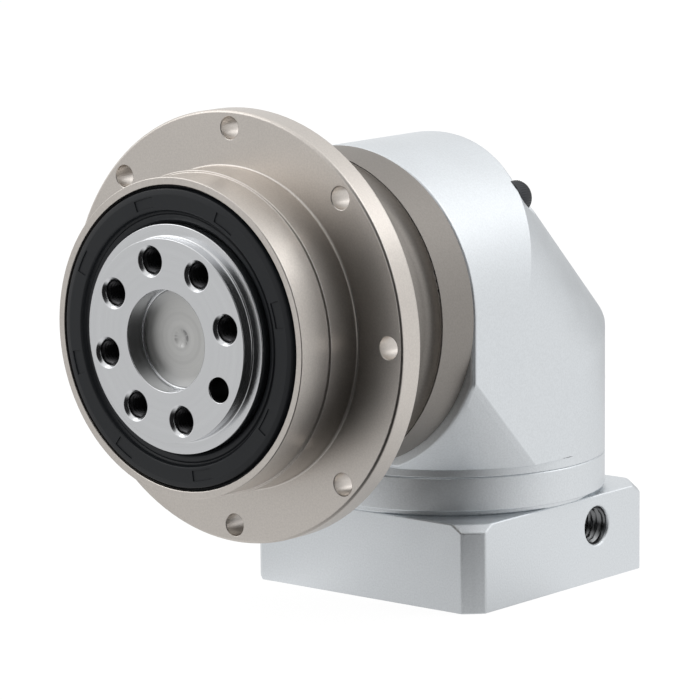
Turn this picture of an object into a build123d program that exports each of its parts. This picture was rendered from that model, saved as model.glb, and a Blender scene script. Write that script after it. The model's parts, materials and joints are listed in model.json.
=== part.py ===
from build123d import *
import os
from math import acos, cos, pi, radians, sin, sqrt, tan

# Flange-output planetary gearbox with a right-angle input.
# Millimetres and degrees. The origin is the centre of the motor plate's
# lower face, +Z is the input axis and the output axis runs along -Y.

# Fits between pieces
SEAT_FIT = 0.01
RUNNING_FIT = 0.03
SCREW_FIT = 0.05
TOOTH_GAP = 0.10
THREAD_END = 1.0
CUT_MARGIN = 1.0

# Planetary stage
GEAR_MODULE = 0.9
SUN_TEETH = 18
PLANET_TEETH = 18
PLANET_COUNT = 3
PRESSURE_ANGLE = 20
RING_ADDENDUM = 0.8
ADDENDUM = 1.0
DEDENDUM = 1.25
GEAR_WIDTH = 12.0
GEAR_SIDE_PLAY = 0.3
RING_REAR_OVERLAP = 0.5
RING_FRONT_OVERLAP = 1.0
SUN_OFFSET = 0.5
PIN_RADIUS = 3.0
BUSH_WALL = 1.6
PIN_DEPTH = 5.0
PIN_PLAY = 0.2
SUN_NECK_STEP = 0.4

# Bevel pair, one to one
BEVEL_MODULE = 1.25
BEVEL_TEETH = 20
BEVEL_FACE = 5.5
BEVEL_ADDENDUM = 0.9
BEVEL_DEDENDUM = 1.15
TOOTH_ROOT_SINK = 0.5
BEVEL_HUB = 5.3
BEVEL_HUB_RADIUS = 8.2
BEVEL_BACK_STEP = 1.0
BEVEL_ROOM = 0.6
GEAR_SEAT_RADIUS = 4.5
KEY_WIDTH = 2.0
KEY_LENGTH = 5.0
KEY_PLACE = 0.6
NUT_RADIUS = 6.0
NUT_LENGTH = 2.4
NUT_FLATS = 10.2
SHAFT_STUB = 0.8

# Output carrier
FACE_RADIUS = 20.0
FACE_LENGTH = 2.5
JOURNAL_RADIUS = 22.5
SHOULDER_STEP = 2.0
SHOULDER_LENGTH = 3.0
CAGE_STEP = 0.2
CAGE_PLAY = 0.4
CAGE_REAR_WALL = 4.0
CAGE_FRONT_WALL = 10.2
WINDOW_ROOM = 0.6
SUN_ROOM = 0.5
PILOT_BORE_RADIUS = 10.0
PLUG_RECESS = 4.4
PLUG_STEP = 0.3
PLUG_LENGTH = 4.0
PLUG_CENTRE_RADIUS = 2.2
PLUG_CENTRE_DEPTH = 0.9
CORE_RADIUS = 8.0
OUTPUT_CIRCLE_RADIUS = 15.75
OUTPUT_HOLE_RADIUS = 2.5
OUTPUT_HOLE_DEPTH = 9.0
OUTPUT_SINK_RADIUS = 3.15
OUTPUT_HOLE_COUNT = 8
FIRST_HOLE_ANGLE = 103.8
DOWEL_HOLE_INDEX = 3

# Output housing
RIM_BEHIND_FACE = 3.5
SEAL_WALL = 1.5
RIM_STEP = 0.5
PILOT_LENGTH = 8.0
FLANGE_BEHIND_FACE = 19.5
FLANGE_REACH = 11.0
FLANGE_THICKNESS = 5.8
FLANGE_HOLE_EDGE = 3.5
FLANGE_HOLE_RADIUS = 2.25
FLANGE_HOLE_COUNT = 8
FLANGE_HOLE_ANGLE = 90
FLANGE_CHAMFER = 0.4
RING_WALL = 4.575
WAIST_STEP = 2.5
WAIST_LAND = 0.05
RING_RELIEF = 0.6
COLLAR_LENGTH = 10.0
REAR_WALL = 1.8
SPIGOT_LENGTH = 1.4
INNER_STEP = 2.0
BEARING_STAND_OUT = 0.5

# Bearings
FRONT_SECTION = 6.5
FRONT_WIDTH = 7.0
FRONT_WALL = 1.5
FRONT_ROLLER_COUNT = 14
REAR_SHAFT_RADIUS = 12.5
REAR_SECTION = 6.0
REAR_WIDTH = 7.0
REAR_WALL_OF_RINGS = 1.4
REAR_ROLLER_COUNT = 10
BEVEL_SHAFT_RADIUS = 5.0
BEVEL_SECTION = 10.0
BEVEL_WIDTH = 14.0
BEVEL_WALL = 2.3
BEVEL_ROLLER_COUNT = 7
INPUT_SHAFT_RADIUS = 6.0
INPUT_SECTION = 10.0
INPUT_WIDTH = 15.9
INPUT_WALL = 2.6
INPUT_ROLLER_COUNT = 8
ROLLER_SIDE_ROOM = 1.3
WIDE_ROLLER_SIDE_ROOM = 2.5

# Retaining ring and output seal
CLIP_WIDTH = 1.5
CLIP_PLAY = 0.05
CLIP_ROOM = 0.1
CLIP_GROOVE = 1.5
CLIP_REACH = 2.4
CLIP_OPENING = 24
SEAL_SECTION = 7.5
SEAL_WIDTH = 7.0
SEAL_GAP = 0.1
SEAL_RECESS = 0.4
SEAL_FLAT_STEP = 2.4
SEAL_LIP_DROP = 1.0

# Angle housing
CORNER_STEP = 2.5
ELBOW_OFFSET = 16.5
EDGE_CHAMFER = 0.7
HOUSING_FOOT = 2.07
SCREW_EDGE = 3.7
SCREW_GRIP = 8.0
SCREW_ANGLES = (45, 135, 225, 315)
UPPER_SCREW_SEAT = 6.3
LOWER_SCREW_SEAT = -19.0
POCKET_RADIUS = 4.0
WASHER_RADIUS = 3.9
WASHER_THICKNESS = 0.8

# Socket-head screws
M4_RADIUS = 2.0
M4_HEAD_RADIUS = 3.5
M4_HEAD_LENGTH = 4.0
M4_HEAD_CHAMFER = 0.4
M4_HEAD_ROOM = 0.1
M4_SOCKET = 3.0
M4_SOCKET_DEPTH = 2.0

# Motor side
PLATE_SIZE = 60.0
PLATE_THICKNESS = 18.27
PLATE_CORNER_RADIUS = 40.0
PLATE_CHAMFER = 1.65
MOTOR_PILOT_RADIUS = 25.0
MOTOR_PILOT_DEPTH = 3.0
MOTOR_CIRCLE_RADIUS = 35.0
MOTOR_HOLE_RADIUS = 2.5
MOTOR_HOLE_DEPTH = 12.0
MOTOR_HOLE_COUNT = 4
MOTOR_HOLE_ANGLE = 45
HUB_ROOM = 0.8
RING_NECK = 1.23
RING_NECK_STEP = 2.0
RING_LENGTH = 7.1
PLATE_SCREW_STEP = 5.3
PLATE_SCREW_SEAT = 4.2
PLATE_SCREW_GRIP = 6.0
PLATE_SCREW_COUNT = 4
ACCESS_HOLE_RADIUS = 4.0
ACCESS_MOUTH_RADIUS = 4.4
INPUT_SEAL_SECTION = 5.0
INPUT_SEAL_OVERLAP = 2.5
INPUT_SEAL_WIDTH = 5.0
INPUT_SEAL_LIFT = 1.6

# Input shaft
SEAL_JOURNAL_RADIUS = 8.0
HUB_RADIUS = 16.0
HUB_LOW = 3.8
HUB_TOP_GAP = 0.3
MOTOR_SHAFT_RADIUS = 7.0
CLAMP_DEPTH = 13.0
SLIT_WIDTH = 1.6
SLIT_LENGTH = 12.5
CLAMP_SCREW_OFFSET = 11.4
CLAMP_SCREW_HEIGHT = 11.8
CLAMP_SCREW_SEAT = 3.0
CLAMP_SCREW_LENGTH = 10.0

# Bearings as groups of the sizes above
FRONT_BEARING = dict(shaft=JOURNAL_RADIUS, outer=JOURNAL_RADIUS + FRONT_SECTION, width=FRONT_WIDTH,
                     wall=FRONT_WALL, rollers=FRONT_ROLLER_COUNT, side=ROLLER_SIDE_ROOM)
REAR_BEARING = dict(shaft=REAR_SHAFT_RADIUS, outer=REAR_SHAFT_RADIUS + REAR_SECTION, width=REAR_WIDTH,
                    wall=REAR_WALL_OF_RINGS, rollers=REAR_ROLLER_COUNT, side=ROLLER_SIDE_ROOM)
BEVEL_BEARING = dict(shaft=BEVEL_SHAFT_RADIUS, outer=BEVEL_SHAFT_RADIUS + BEVEL_SECTION, width=BEVEL_WIDTH,
                     wall=BEVEL_WALL, rollers=BEVEL_ROLLER_COUNT, side=WIDE_ROLLER_SIDE_ROOM)
INPUT_BEARING = dict(shaft=INPUT_SHAFT_RADIUS, outer=INPUT_SHAFT_RADIUS + INPUT_SECTION, width=INPUT_WIDTH,
                     wall=INPUT_WALL, rollers=INPUT_ROLLER_COUNT, side=WIDE_ROLLER_SIDE_ROOM)

# Gear radii that follow from the teeth
RING_TEETH = SUN_TEETH + 2 * PLANET_TEETH
SUN_PITCH = GEAR_MODULE * SUN_TEETH / 2
PLANET_PITCH = GEAR_MODULE * PLANET_TEETH / 2
RING_PITCH = GEAR_MODULE * RING_TEETH / 2
CENTRE_DISTANCE = SUN_PITCH + PLANET_PITCH
PLANET_TIP = PLANET_PITCH + ADDENDUM * GEAR_MODULE
SUN_TIP = SUN_PITCH + ADDENDUM * GEAR_MODULE
RING_ROOT = RING_PITCH + DEDENDUM * GEAR_MODULE
BEVEL_PITCH = BEVEL_MODULE * BEVEL_TEETH / 2
BEVEL_REACH = BEVEL_PITCH + BEVEL_ADDENDUM * BEVEL_MODULE * sin(radians(45))

# Outer radii, from the inside out
SHOULDER_RADIUS = JOURNAL_RADIUS + SHOULDER_STEP
CAGE_RADIUS = JOURNAL_RADIUS - CAGE_STEP
PLUG_RADIUS = PILOT_BORE_RADIUS - PLUG_STEP
SEAL_OUTER = JOURNAL_RADIUS + SEAL_SECTION
SEAL_FLAT_RADIUS = JOURNAL_RADIUS + SEAL_FLAT_STEP
RIM_RADIUS = SEAL_OUTER + SEAL_WALL
PILOT_RADIUS = RIM_RADIUS + RIM_STEP
FLANGE_RADIUS = PILOT_RADIUS + FLANGE_REACH
FLANGE_CIRCLE_RADIUS = FLANGE_RADIUS - FLANGE_HOLE_EDGE
WAIST_RADIUS = RING_ROOT + RING_WALL
BODY_RADIUS = WAIST_RADIUS + WAIST_STEP
CORNER_RADIUS = BODY_RADIUS + CORNER_STEP
SCREW_CIRCLE_RADIUS = BODY_RADIUS - SCREW_EDGE
RING_NECK_RADIUS = BODY_RADIUS - RING_NECK_STEP
INPUT_SEAL_OUTER = SEAL_JOURNAL_RADIUS + INPUT_SEAL_SECTION
PLATE_SCREW_CIRCLE = INPUT_BEARING["outer"] + PLATE_SCREW_STEP

# Stations in front of the crossing of the two axes, along the output axis
GEAR_BACK = BEVEL_PITCH + BEVEL_HUB
HOUSING_FRONT = GEAR_BACK + BEVEL_BEARING["width"] + SPIGOT_LENGTH
REAR_SEAT = HOUSING_FRONT + REAR_WALL
CAGE_REAR = REAR_SEAT + REAR_BEARING["width"]
WINDOW_REAR = CAGE_REAR + CAGE_REAR_WALL
WINDOW_FRONT = WINDOW_REAR + GEAR_WIDTH + 2 * GEAR_SIDE_PLAY
FRONT_SEAT = WINDOW_FRONT + CAGE_FRONT_WALL
CLIP_REAR = FRONT_SEAT + FRONT_BEARING["width"]
SEAL_REAR = CLIP_REAR + CLIP_WIDTH + SEAL_GAP
SEAL_FRONT = SEAL_REAR + SEAL_WIDTH
RIM_FRONT = SEAL_FRONT + SEAL_RECESS
OUTPUT_FACE = RIM_FRONT + RIM_BEHIND_FACE
FLANGE_FRONT = OUTPUT_FACE - FLANGE_BEHIND_FACE
FLANGE_REAR = FLANGE_FRONT - FLANGE_THICKNESS
COLLAR_FRONT = HOUSING_FRONT + COLLAR_LENGTH
RING_REAR = WINDOW_REAR - RING_REAR_OVERLAP
RING_FRONT = WINDOW_FRONT + RING_FRONT_OVERLAP

# Stations below the crossing, along the input axis
PINION_BACK = BEVEL_PITCH + BEVEL_HUB
INPUT_SEAT_END = PINION_BACK + INPUT_BEARING["width"]
HOUSING_BOTTOM = BODY_RADIUS + HOUSING_FOOT
RING_BOTTOM = PLATE_THICKNESS + RING_NECK
RING_TOP = RING_BOTTOM + RING_LENGTH
AXIS_HEIGHT = RING_TOP + HOUSING_BOTTOM
BLOCK_FRONT = HOUSING_FRONT - EDGE_CHAMFER
HUB_TOP = PLATE_THICKNESS - HUB_TOP_GAP
SPIGOT_TOP = AXIS_HEIGHT - INPUT_SEAT_END

# Frames: output axis with local z forward, pinion axis with local z down
OUTPUT = Plane(origin=(0, 0, AXIS_HEIGHT), x_dir=(1, 0, 0), z_dir=(0, -1, 0)).location
PINION = Plane(origin=(0, 0, AXIS_HEIGHT), x_dir=(1, 0, 0), z_dir=(0, 0, -1)).location


def turned(*corners):
    """Solid turned about the local z axis from (radius, height) corners."""
    outline = Polyline(*[(radius, 0, height) for radius, height in corners], close=True)
    return revolve(make_face(outline), Axis.Z)


def tube(outer, inner, low, high):
    """Plain ring between two heights."""
    return turned((inner, low), (outer, low), (outer, high), (inner, high))


def rod(radius, low, high):
    """Round bar between two heights on the local z axis."""
    return Pos(0, 0, low) * Cylinder(radius, high - low, align=(Align.CENTER, Align.CENTER, Align.MIN))


def circle_of(piece, count, radius, start=0.0):
    """Copies of a piece set out evenly on a circle about the local z axis."""
    step = 360 / count
    return [Rot(Z=start + step * index) * Pos(radius, 0, 0) * piece for index in range(count)]


def group(pieces):
    """Separate solids that share one node."""
    return Compound(children=[piece.solid() if hasattr(piece, "solid") else piece for piece in pieces])


def polar(radius, angle):
    """Point at a radius and an angle in radians."""
    return (radius * cos(angle), radius * sin(angle))


def involute_half_angle(radius, pitch_radius, tooth_half_angle):
    """Half of a tooth's angle at a radius, in radians."""
    pressure = radians(PRESSURE_ANGLE)
    base_radius = pitch_radius * cos(pressure)
    local = acos(min(1.0, base_radius / radius))
    return tooth_half_angle + (tan(pressure) - pressure) - (tan(local) - local)


def spur_face(teeth, pitch_radius, root_radius, tip_radius, gap):
    """Outline of an involute gear; a negative gap makes the space of a ring gear."""
    tooth_half_angle = pi / (2 * teeth) - gap / (2 * pitch_radius)
    middle_radius = (root_radius + tip_radius) / 2
    half = [involute_half_angle(radius, pitch_radius, tooth_half_angle)
            for radius in (root_radius, middle_radius, tip_radius)]
    step = 2 * pi / teeth
    edges = []
    for index in range(teeth):
        centre = index * step
        left = [polar(radius, centre - angle)
                for radius, angle in zip((root_radius, middle_radius, tip_radius), half)]
        right = [polar(radius, centre + angle)
                 for radius, angle in zip((root_radius, middle_radius, tip_radius), half)]
        following = polar(root_radius, centre + step - half[0])
        edges.append(ThreePointArc(*left))
        edges.append(Line(left[2], right[2]))
        edges.append(ThreePointArc(right[2], right[1], right[0]))
        edges.append(Line(right[0], following))
    return make_face(Curve() + edges)


def planet_angle(index):
    """Direction of a planet from the output axis, in degrees."""
    return 90 + index * 360 / PLANET_COUNT


def planet_turn(index):
    """Turn of a planet's first tooth so that it meshes with the sun's first tooth at 0."""
    direction = planet_angle(index)
    sun_step = 360 / SUN_TEETH
    planet_step = 360 / PLANET_TEETH
    return direction + 180 - planet_step * (0.5 - direction / sun_step)


def ring_turn():
    """Turn of the ring gear's first tooth space so that it takes the first planet's tooth."""
    direction = planet_angle(0)
    planet_step = 360 / PLANET_TEETH
    ring_step = 360 / RING_TEETH
    return direction - ring_step * (direction - planet_turn(0)) / planet_step


def spur_gear(teeth, pitch_radius, low, high):
    """External gear between two heights."""
    root_radius = pitch_radius - DEDENDUM * GEAR_MODULE
    tip_radius = pitch_radius + ADDENDUM * GEAR_MODULE
    face = spur_face(teeth, pitch_radius, root_radius, tip_radius, TOOTH_GAP)
    return Pos(0, 0, low) * extrude(face, high - low)


def bevel_section(scale):
    """One tooth of the mitre pair, cut square to the pitch line, at a share of the cone distance."""
    cone_distance = BEVEL_PITCH * sqrt(2)
    virtual_radius = BEVEL_PITCH * sqrt(2)
    virtual_teeth = BEVEL_TEETH * sqrt(2)
    half_angle = pi / (2 * virtual_teeth) - TOOTH_GAP / (2 * virtual_radius)
    heights = [-BEVEL_DEDENDUM * BEVEL_MODULE - TOOTH_ROOT_SINK, 0, BEVEL_ADDENDUM * BEVEL_MODULE]
    flank = []
    for height in heights:
        radius = virtual_radius + height
        angle = involute_half_angle(max(radius, virtual_radius * cos(radians(PRESSURE_ANGLE))),
                                    virtual_radius, half_angle)
        flank.append((radius * sin(angle) * scale, (radius * cos(angle) - virtual_radius) * scale))
    outline = flank + [(-across, up) for across, up in reversed(flank)]
    reach = cone_distance * scale / sqrt(2)
    plane = Plane(origin=(reach, 0, reach), x_dir=(0, 1, 0), z_dir=(-1, 0, -1))
    return plane * make_face(Polyline(*outline, close=True))


def bevel_wheel(tooth_angle):
    """Mitre gear with its apex at the local origin and its back along local +z."""
    inner_scale = 1 - BEVEL_FACE / (BEVEL_PITCH * sqrt(2))
    root_drop = BEVEL_DEDENDUM * BEVEL_MODULE / sqrt(2)
    outer_root = (BEVEL_PITCH - root_drop, BEVEL_PITCH + root_drop)
    inner_root = (outer_root[0] * inner_scale, outer_root[1] * inner_scale)
    blank = turned((GEAR_SEAT_RADIUS + SEAT_FIT, inner_root[1]), inner_root, outer_root,
                   (BEVEL_HUB_RADIUS, outer_root[1] + BEVEL_BACK_STEP), (BEVEL_HUB_RADIUS, BEVEL_PITCH + BEVEL_HUB),
                   (GEAR_SEAT_RADIUS + SEAT_FIT, BEVEL_PITCH + BEVEL_HUB))
    tooth = loft([bevel_section(1.0), bevel_section(inner_scale)], ruled=True)
    teeth = circle_of(tooth, BEVEL_TEETH, 0, tooth_angle)
    return blank + teeth - key_space(SEAT_FIT)


def key_space(room):
    """Parallel key half sunk in the shaft at the gear seat, or the room for it."""
    middle = BEVEL_PITCH + BEVEL_HUB - KEY_PLACE - KEY_LENGTH / 2
    block = Box(KEY_WIDTH + 2 * room, KEY_WIDTH + 2 * room, KEY_LENGTH + 2 * room)
    return Pos(0, GEAR_SEAT_RADIUS, middle) * block


def inner_cone_height():
    """Height of the mitre gear's small face above the apex."""
    inner_scale = 1 - BEVEL_FACE / (BEVEL_PITCH * sqrt(2))
    return (BEVEL_PITCH + BEVEL_DEDENDUM * BEVEL_MODULE / sqrt(2)) * inner_scale


def gear_nut():
    """Lock nut with two flats that holds a mitre gear against its bearing."""
    top = inner_cone_height()
    nut = tube(NUT_RADIUS, GEAR_SEAT_RADIUS + SEAT_FIT, top - NUT_LENGTH, top)
    flats = Box(2 * NUT_RADIUS, NUT_FLATS, 4 * top)
    return nut & flats


def inner_ring(bearing, low):
    """Inner ring of a bearing."""
    shaft = bearing["shaft"] + SEAT_FIT
    return tube(shaft + bearing["wall"], shaft, low, low + bearing["width"])


def outer_ring(bearing, low):
    """Outer ring of a bearing."""
    outer = bearing["outer"] - SEAT_FIT
    return tube(outer, outer - bearing["wall"], low, low + bearing["width"])


def rollers(bearing, low):
    """Rollers of a bearing, evenly spaced between its two rings."""
    inside = bearing["shaft"] + bearing["wall"] + SEAT_FIT
    outside = bearing["outer"] - bearing["wall"] - SEAT_FIT
    radius = (outside - inside) / 2 - RUNNING_FIT
    roller = rod(radius, low + bearing["side"], low + bearing["width"] - bearing["side"])
    return group(circle_of(roller, bearing["rollers"], (inside + outside) / 2))


def socket_screw(length):
    """Socket-head cap screw whose head seats on z = 0 and whose shank runs to -length."""
    head = rod(M4_HEAD_RADIUS, 0, M4_HEAD_LENGTH)
    head = chamfer(head.edges().group_by(Axis.Z)[-1], M4_HEAD_CHAMFER)
    socket = extrude(RegularPolygon(M4_SOCKET / sqrt(3), 6), M4_SOCKET_DEPTH)
    head -= Pos(0, 0, M4_HEAD_LENGTH - M4_SOCKET_DEPTH) * socket
    return head + rod(M4_RADIUS, -length, 0.0)


def output_carrier():
    """Output flange, journal and planet cage in one piece."""
    cage_end = REAR_SEAT + CAGE_PLAY
    body = turned((SUN_TIP + SUN_ROOM, cage_end), (REAR_BEARING["shaft"], cage_end),
                  (REAR_BEARING["shaft"], CAGE_REAR), (CAGE_RADIUS, CAGE_REAR),
                  (CAGE_RADIUS, FRONT_SEAT - SHOULDER_LENGTH),
                  (SHOULDER_RADIUS, FRONT_SEAT - SHOULDER_LENGTH), (SHOULDER_RADIUS, FRONT_SEAT),
                  (JOURNAL_RADIUS, FRONT_SEAT), (JOURNAL_RADIUS, OUTPUT_FACE - FACE_LENGTH),
                  (FACE_RADIUS, OUTPUT_FACE - FACE_LENGTH), (FACE_RADIUS, OUTPUT_FACE),
                  (PILOT_BORE_RADIUS, OUTPUT_FACE),
                  (PILOT_BORE_RADIUS, OUTPUT_FACE - PLUG_RECESS),
                  (PLUG_RADIUS, OUTPUT_FACE - PLUG_RECESS),
                  (PLUG_RADIUS, OUTPUT_FACE - PLUG_RECESS - PLUG_LENGTH),
                  (CORE_RADIUS, OUTPUT_FACE - PLUG_RECESS - PLUG_LENGTH),
                  (CORE_RADIUS, WINDOW_FRONT), (SUN_TIP + SUN_ROOM, WINDOW_FRONT))
    window = rod(PLANET_TIP + WINDOW_ROOM, WINDOW_REAR, WINDOW_FRONT)
    pin_hole = rod(PIN_RADIUS + SEAT_FIT, CAGE_REAR, WINDOW_FRONT + PIN_DEPTH)
    for index in range(PLANET_COUNT):
        place = Rot(Z=planet_angle(index)) * Pos(CENTRE_DISTANCE, 0, 0)
        body -= place * window
        body -= place * pin_hole
    return body - output_holes()


def output_holes():
    """Tapped holes and one plain dowel hole in the output face."""
    drilled = rod(OUTPUT_HOLE_RADIUS, OUTPUT_FACE - OUTPUT_HOLE_DEPTH, OUTPUT_FACE)
    depth = OUTPUT_SINK_RADIUS - OUTPUT_HOLE_RADIUS
    sink = turned((0, OUTPUT_FACE - depth), (OUTPUT_HOLE_RADIUS, OUTPUT_FACE - depth),
                  (OUTPUT_SINK_RADIUS, OUTPUT_FACE), (0, OUTPUT_FACE))
    step = -360 / OUTPUT_HOLE_COUNT
    holes = []
    for index in range(OUTPUT_HOLE_COUNT):
        place = Rot(Z=FIRST_HOLE_ANGLE + step * index) * Pos(OUTPUT_CIRCLE_RADIUS, 0, 0)
        holes.append(place * (drilled if index == DOWEL_HOLE_INDEX else drilled + sink))
    return holes


def end_plug():
    """Disc that closes the middle of the output bore, with a centre mark."""
    front = OUTPUT_FACE - PLUG_RECESS
    return turned((0, front - PLUG_LENGTH), (PLUG_RADIUS - SEAT_FIT, front - PLUG_LENGTH),
                  (PLUG_RADIUS - SEAT_FIT, front), (PLUG_CENTRE_RADIUS, front),
                  (0, front - PLUG_CENTRE_DEPTH))


def output_housing():
    """Mounting flange, bearing seats and ring gear in one piece."""
    outside = turned((0, HOUSING_FRONT), (BODY_RADIUS, HOUSING_FRONT), (BODY_RADIUS, COLLAR_FRONT),
                     (WAIST_RADIUS, COLLAR_FRONT), (WAIST_RADIUS, FLANGE_REAR),
                     (FLANGE_RADIUS - FLANGE_CHAMFER, FLANGE_REAR),
                     (FLANGE_RADIUS, FLANGE_REAR + FLANGE_CHAMFER),
                     (FLANGE_RADIUS, FLANGE_FRONT - FLANGE_CHAMFER),
                     (FLANGE_RADIUS - FLANGE_CHAMFER, FLANGE_FRONT), (PILOT_RADIUS, FLANGE_FRONT),
                     (PILOT_RADIUS, FLANGE_FRONT + PILOT_LENGTH),
                     (RIM_RADIUS, FLANGE_FRONT + PILOT_LENGTH), (RIM_RADIUS, RIM_FRONT), (0, RIM_FRONT))
    waist_corner = outside.edges().filter_by(GeomType.CIRCLE).filter_by(
        lambda edge: abs(edge.radius - WAIST_RADIUS) < 0.01 and abs(edge.center().Z - COLLAR_FRONT) < 0.01)
    outside = fillet(waist_corner, WAIST_STEP - WAIST_LAND)
    spigot = rod(BEVEL_BEARING["outer"] - SEAT_FIT, HOUSING_FRONT - SPIGOT_LENGTH, HOUSING_FRONT)
    seat_end = REAR_SEAT + REAR_BEARING["width"] - BEARING_STAND_OUT
    rear_opening = BEVEL_BEARING["outer"] - BEVEL_BEARING["wall"] / 2
    bores = turned((0, HOUSING_FRONT - SPIGOT_LENGTH), (rear_opening, HOUSING_FRONT - SPIGOT_LENGTH),
                   (rear_opening, REAR_SEAT), (REAR_BEARING["outer"], REAR_SEAT),
                   (REAR_BEARING["outer"], seat_end), (RING_ROOT + RING_RELIEF, seat_end),
                   (RING_ROOT + RING_RELIEF, RING_REAR), (0, RING_REAR))
    front_step = FRONT_BEARING["outer"] - INNER_STEP
    groove = FRONT_BEARING["outer"] + CLIP_GROOVE
    bores += turned((0, RING_FRONT), (front_step, RING_FRONT), (front_step, FRONT_SEAT),
                    (FRONT_BEARING["outer"], FRONT_SEAT), (FRONT_BEARING["outer"], CLIP_REAR),
                    (groove, CLIP_REAR), (groove, CLIP_REAR + CLIP_WIDTH),
                    (SEAL_OUTER, CLIP_REAR + CLIP_WIDTH), (SEAL_OUTER, RIM_FRONT), (0, RIM_FRONT))
    spaces = spur_face(RING_TEETH, RING_PITCH, RING_PITCH - RING_ADDENDUM * GEAR_MODULE,
                       RING_ROOT, -TOOTH_GAP)
    bores += Rot(Z=ring_turn()) * Pos(0, 0, RING_REAR) * extrude(spaces, RING_FRONT - RING_REAR)
    flange_hole = rod(FLANGE_HOLE_RADIUS, FLANGE_REAR, FLANGE_FRONT)
    body = outside + spigot - bores - circle_of(flange_hole, FLANGE_HOLE_COUNT, FLANGE_CIRCLE_RADIUS,
                                               FLANGE_HOLE_ANGLE)
    thread = rod(M4_RADIUS + SCREW_FIT, HOUSING_FRONT, HOUSING_FRONT + SCREW_GRIP)
    return body - circle_of(thread, len(SCREW_ANGLES), SCREW_CIRCLE_RADIUS, SCREW_ANGLES[0])


def retaining_ring():
    """Sprung ring in the groove in front of the front bearing."""
    outer = FRONT_BEARING["outer"] + CLIP_GROOVE - CLIP_ROOM
    ring = tube(outer, outer - CLIP_REACH - CLIP_GROOVE, CLIP_REAR + CLIP_PLAY, CLIP_REAR + CLIP_WIDTH - CLIP_PLAY)
    gap = Pos(0, -outer, CLIP_REAR) * Box(2 * outer * sin(radians(CLIP_OPENING / 2)), outer, 4 * CLIP_WIDTH)
    return ring - gap


def output_seal():
    """Rotary shaft seal with a flat front, a dust lip and a sealing lip."""
    outer = SEAL_OUTER - SEAT_FIT
    lip = JOURNAL_RADIUS + RUNNING_FIT
    return turned((outer, SEAL_REAR), (outer, SEAL_FRONT), (SEAL_FLAT_RADIUS, SEAL_FRONT),
                  (SEAL_FLAT_RADIUS - SEAL_LIP_DROP, SEAL_FRONT - SEAL_LIP_DROP),
                  (lip, SEAL_FRONT - SEAL_LIP_DROP / 2), (lip, SEAL_REAR + SEAL_WIDTH / 2),
                  (SEAL_FLAT_RADIUS - SEAL_LIP_DROP, SEAL_REAR))


def housing_outline():
    """Half round above the output axis, square below it with turned corners."""
    lower = Pos(0, -BODY_RADIUS / 2) * Rectangle(2 * BODY_RADIUS, BODY_RADIUS)
    return Circle(BODY_RADIUS) + (lower & Circle(CORNER_RADIUS))


def elbow():
    """Three round lengths joined by mitres: forward, sloping back and down."""
    bend = radians(22.5)
    upper_mitre = Plane(origin=(0, -ELBOW_OFFSET, AXIS_HEIGHT), z_dir=(0, cos(bend), -sin(bend)))
    lower_mitre = Plane(origin=(0, 0, AXIS_HEIGHT - ELBOW_OFFSET), z_dir=(0, -sin(bend), cos(bend)))
    forward = OUTPUT * rod(BODY_RADIUS, 0, BLOCK_FRONT)
    forward = split(forward, bisect_by=upper_mitre, keep=Keep.BOTTOM)
    slope_frame = Plane(origin=(0, -ELBOW_OFFSET / 2, AXIS_HEIGHT - ELBOW_OFFSET / 2), z_dir=(0, 1, -1))
    slope = slope_frame.location * rod(BODY_RADIUS, -2 * BODY_RADIUS, 2 * BODY_RADIUS)
    slope = split(slope, bisect_by=upper_mitre, keep=Keep.TOP)
    slope = split(slope, bisect_by=lower_mitre, keep=Keep.TOP)
    down = PINION * rod(BODY_RADIUS, 0, HOUSING_BOTTOM)
    down = split(down, bisect_by=lower_mitre, keep=Keep.BOTTOM)
    return forward + slope + down


def angle_housing():
    """Aluminium elbow that holds the mitre gears."""
    square = extrude(Pos(0, -BODY_RADIUS / 2) * Rectangle(2 * BODY_RADIUS, BODY_RADIUS), BLOCK_FRONT)
    lower_half = Pos(0, 0, AXIS_HEIGHT - BODY_RADIUS / 2) * Box(
        4 * BODY_RADIUS, 4 * BLOCK_FRONT, BODY_RADIUS)
    slope_middle = Plane(origin=(0, -ELBOW_OFFSET, AXIS_HEIGHT), z_dir=(0, 1, 1))
    block = split(OUTPUT * square, bisect_by=slope_middle, keep=Keep.BOTTOM)
    nose = OUTPUT * Pos(0, 0, BLOCK_FRONT) * extrude(housing_outline(), EDGE_CHAMFER, taper=45)
    body = elbow() + block + nose
    corner = Pos(0, -CORNER_RADIUS) * Rectangle(2 * CORNER_RADIUS, 2 * CORNER_RADIUS) - Circle(CORNER_RADIUS)
    gusset = extrude(OUTPUT * Pos(0, 0, BLOCK_FRONT) * corner, 2 * BLOCK_FRONT, dir=(0, 1, -1))
    body -= gusset & lower_half
    return body - gear_chamber() - housing_screw_holes() - plate_screw_threads()


def gear_chamber():
    """Room for the mitre gears and the two bearing bores."""
    room = BEVEL_REACH + BEVEL_ROOM
    chamber = [OUTPUT * rod(room, -room, GEAR_BACK), PINION * rod(room, -room, PINION_BACK)]
    bores = [OUTPUT * rod(BEVEL_BEARING["outer"], GEAR_BACK, HOUSING_FRONT + CUT_MARGIN),
             PINION * rod(INPUT_BEARING["outer"], PINION_BACK, HOUSING_BOTTOM + CUT_MARGIN)]
    return chamber + bores


def screw_places():
    """Angle on the screw circle and seat station of each housing screw."""
    return zip(SCREW_ANGLES, [UPPER_SCREW_SEAT, UPPER_SCREW_SEAT, LOWER_SCREW_SEAT, LOWER_SCREW_SEAT])


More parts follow.
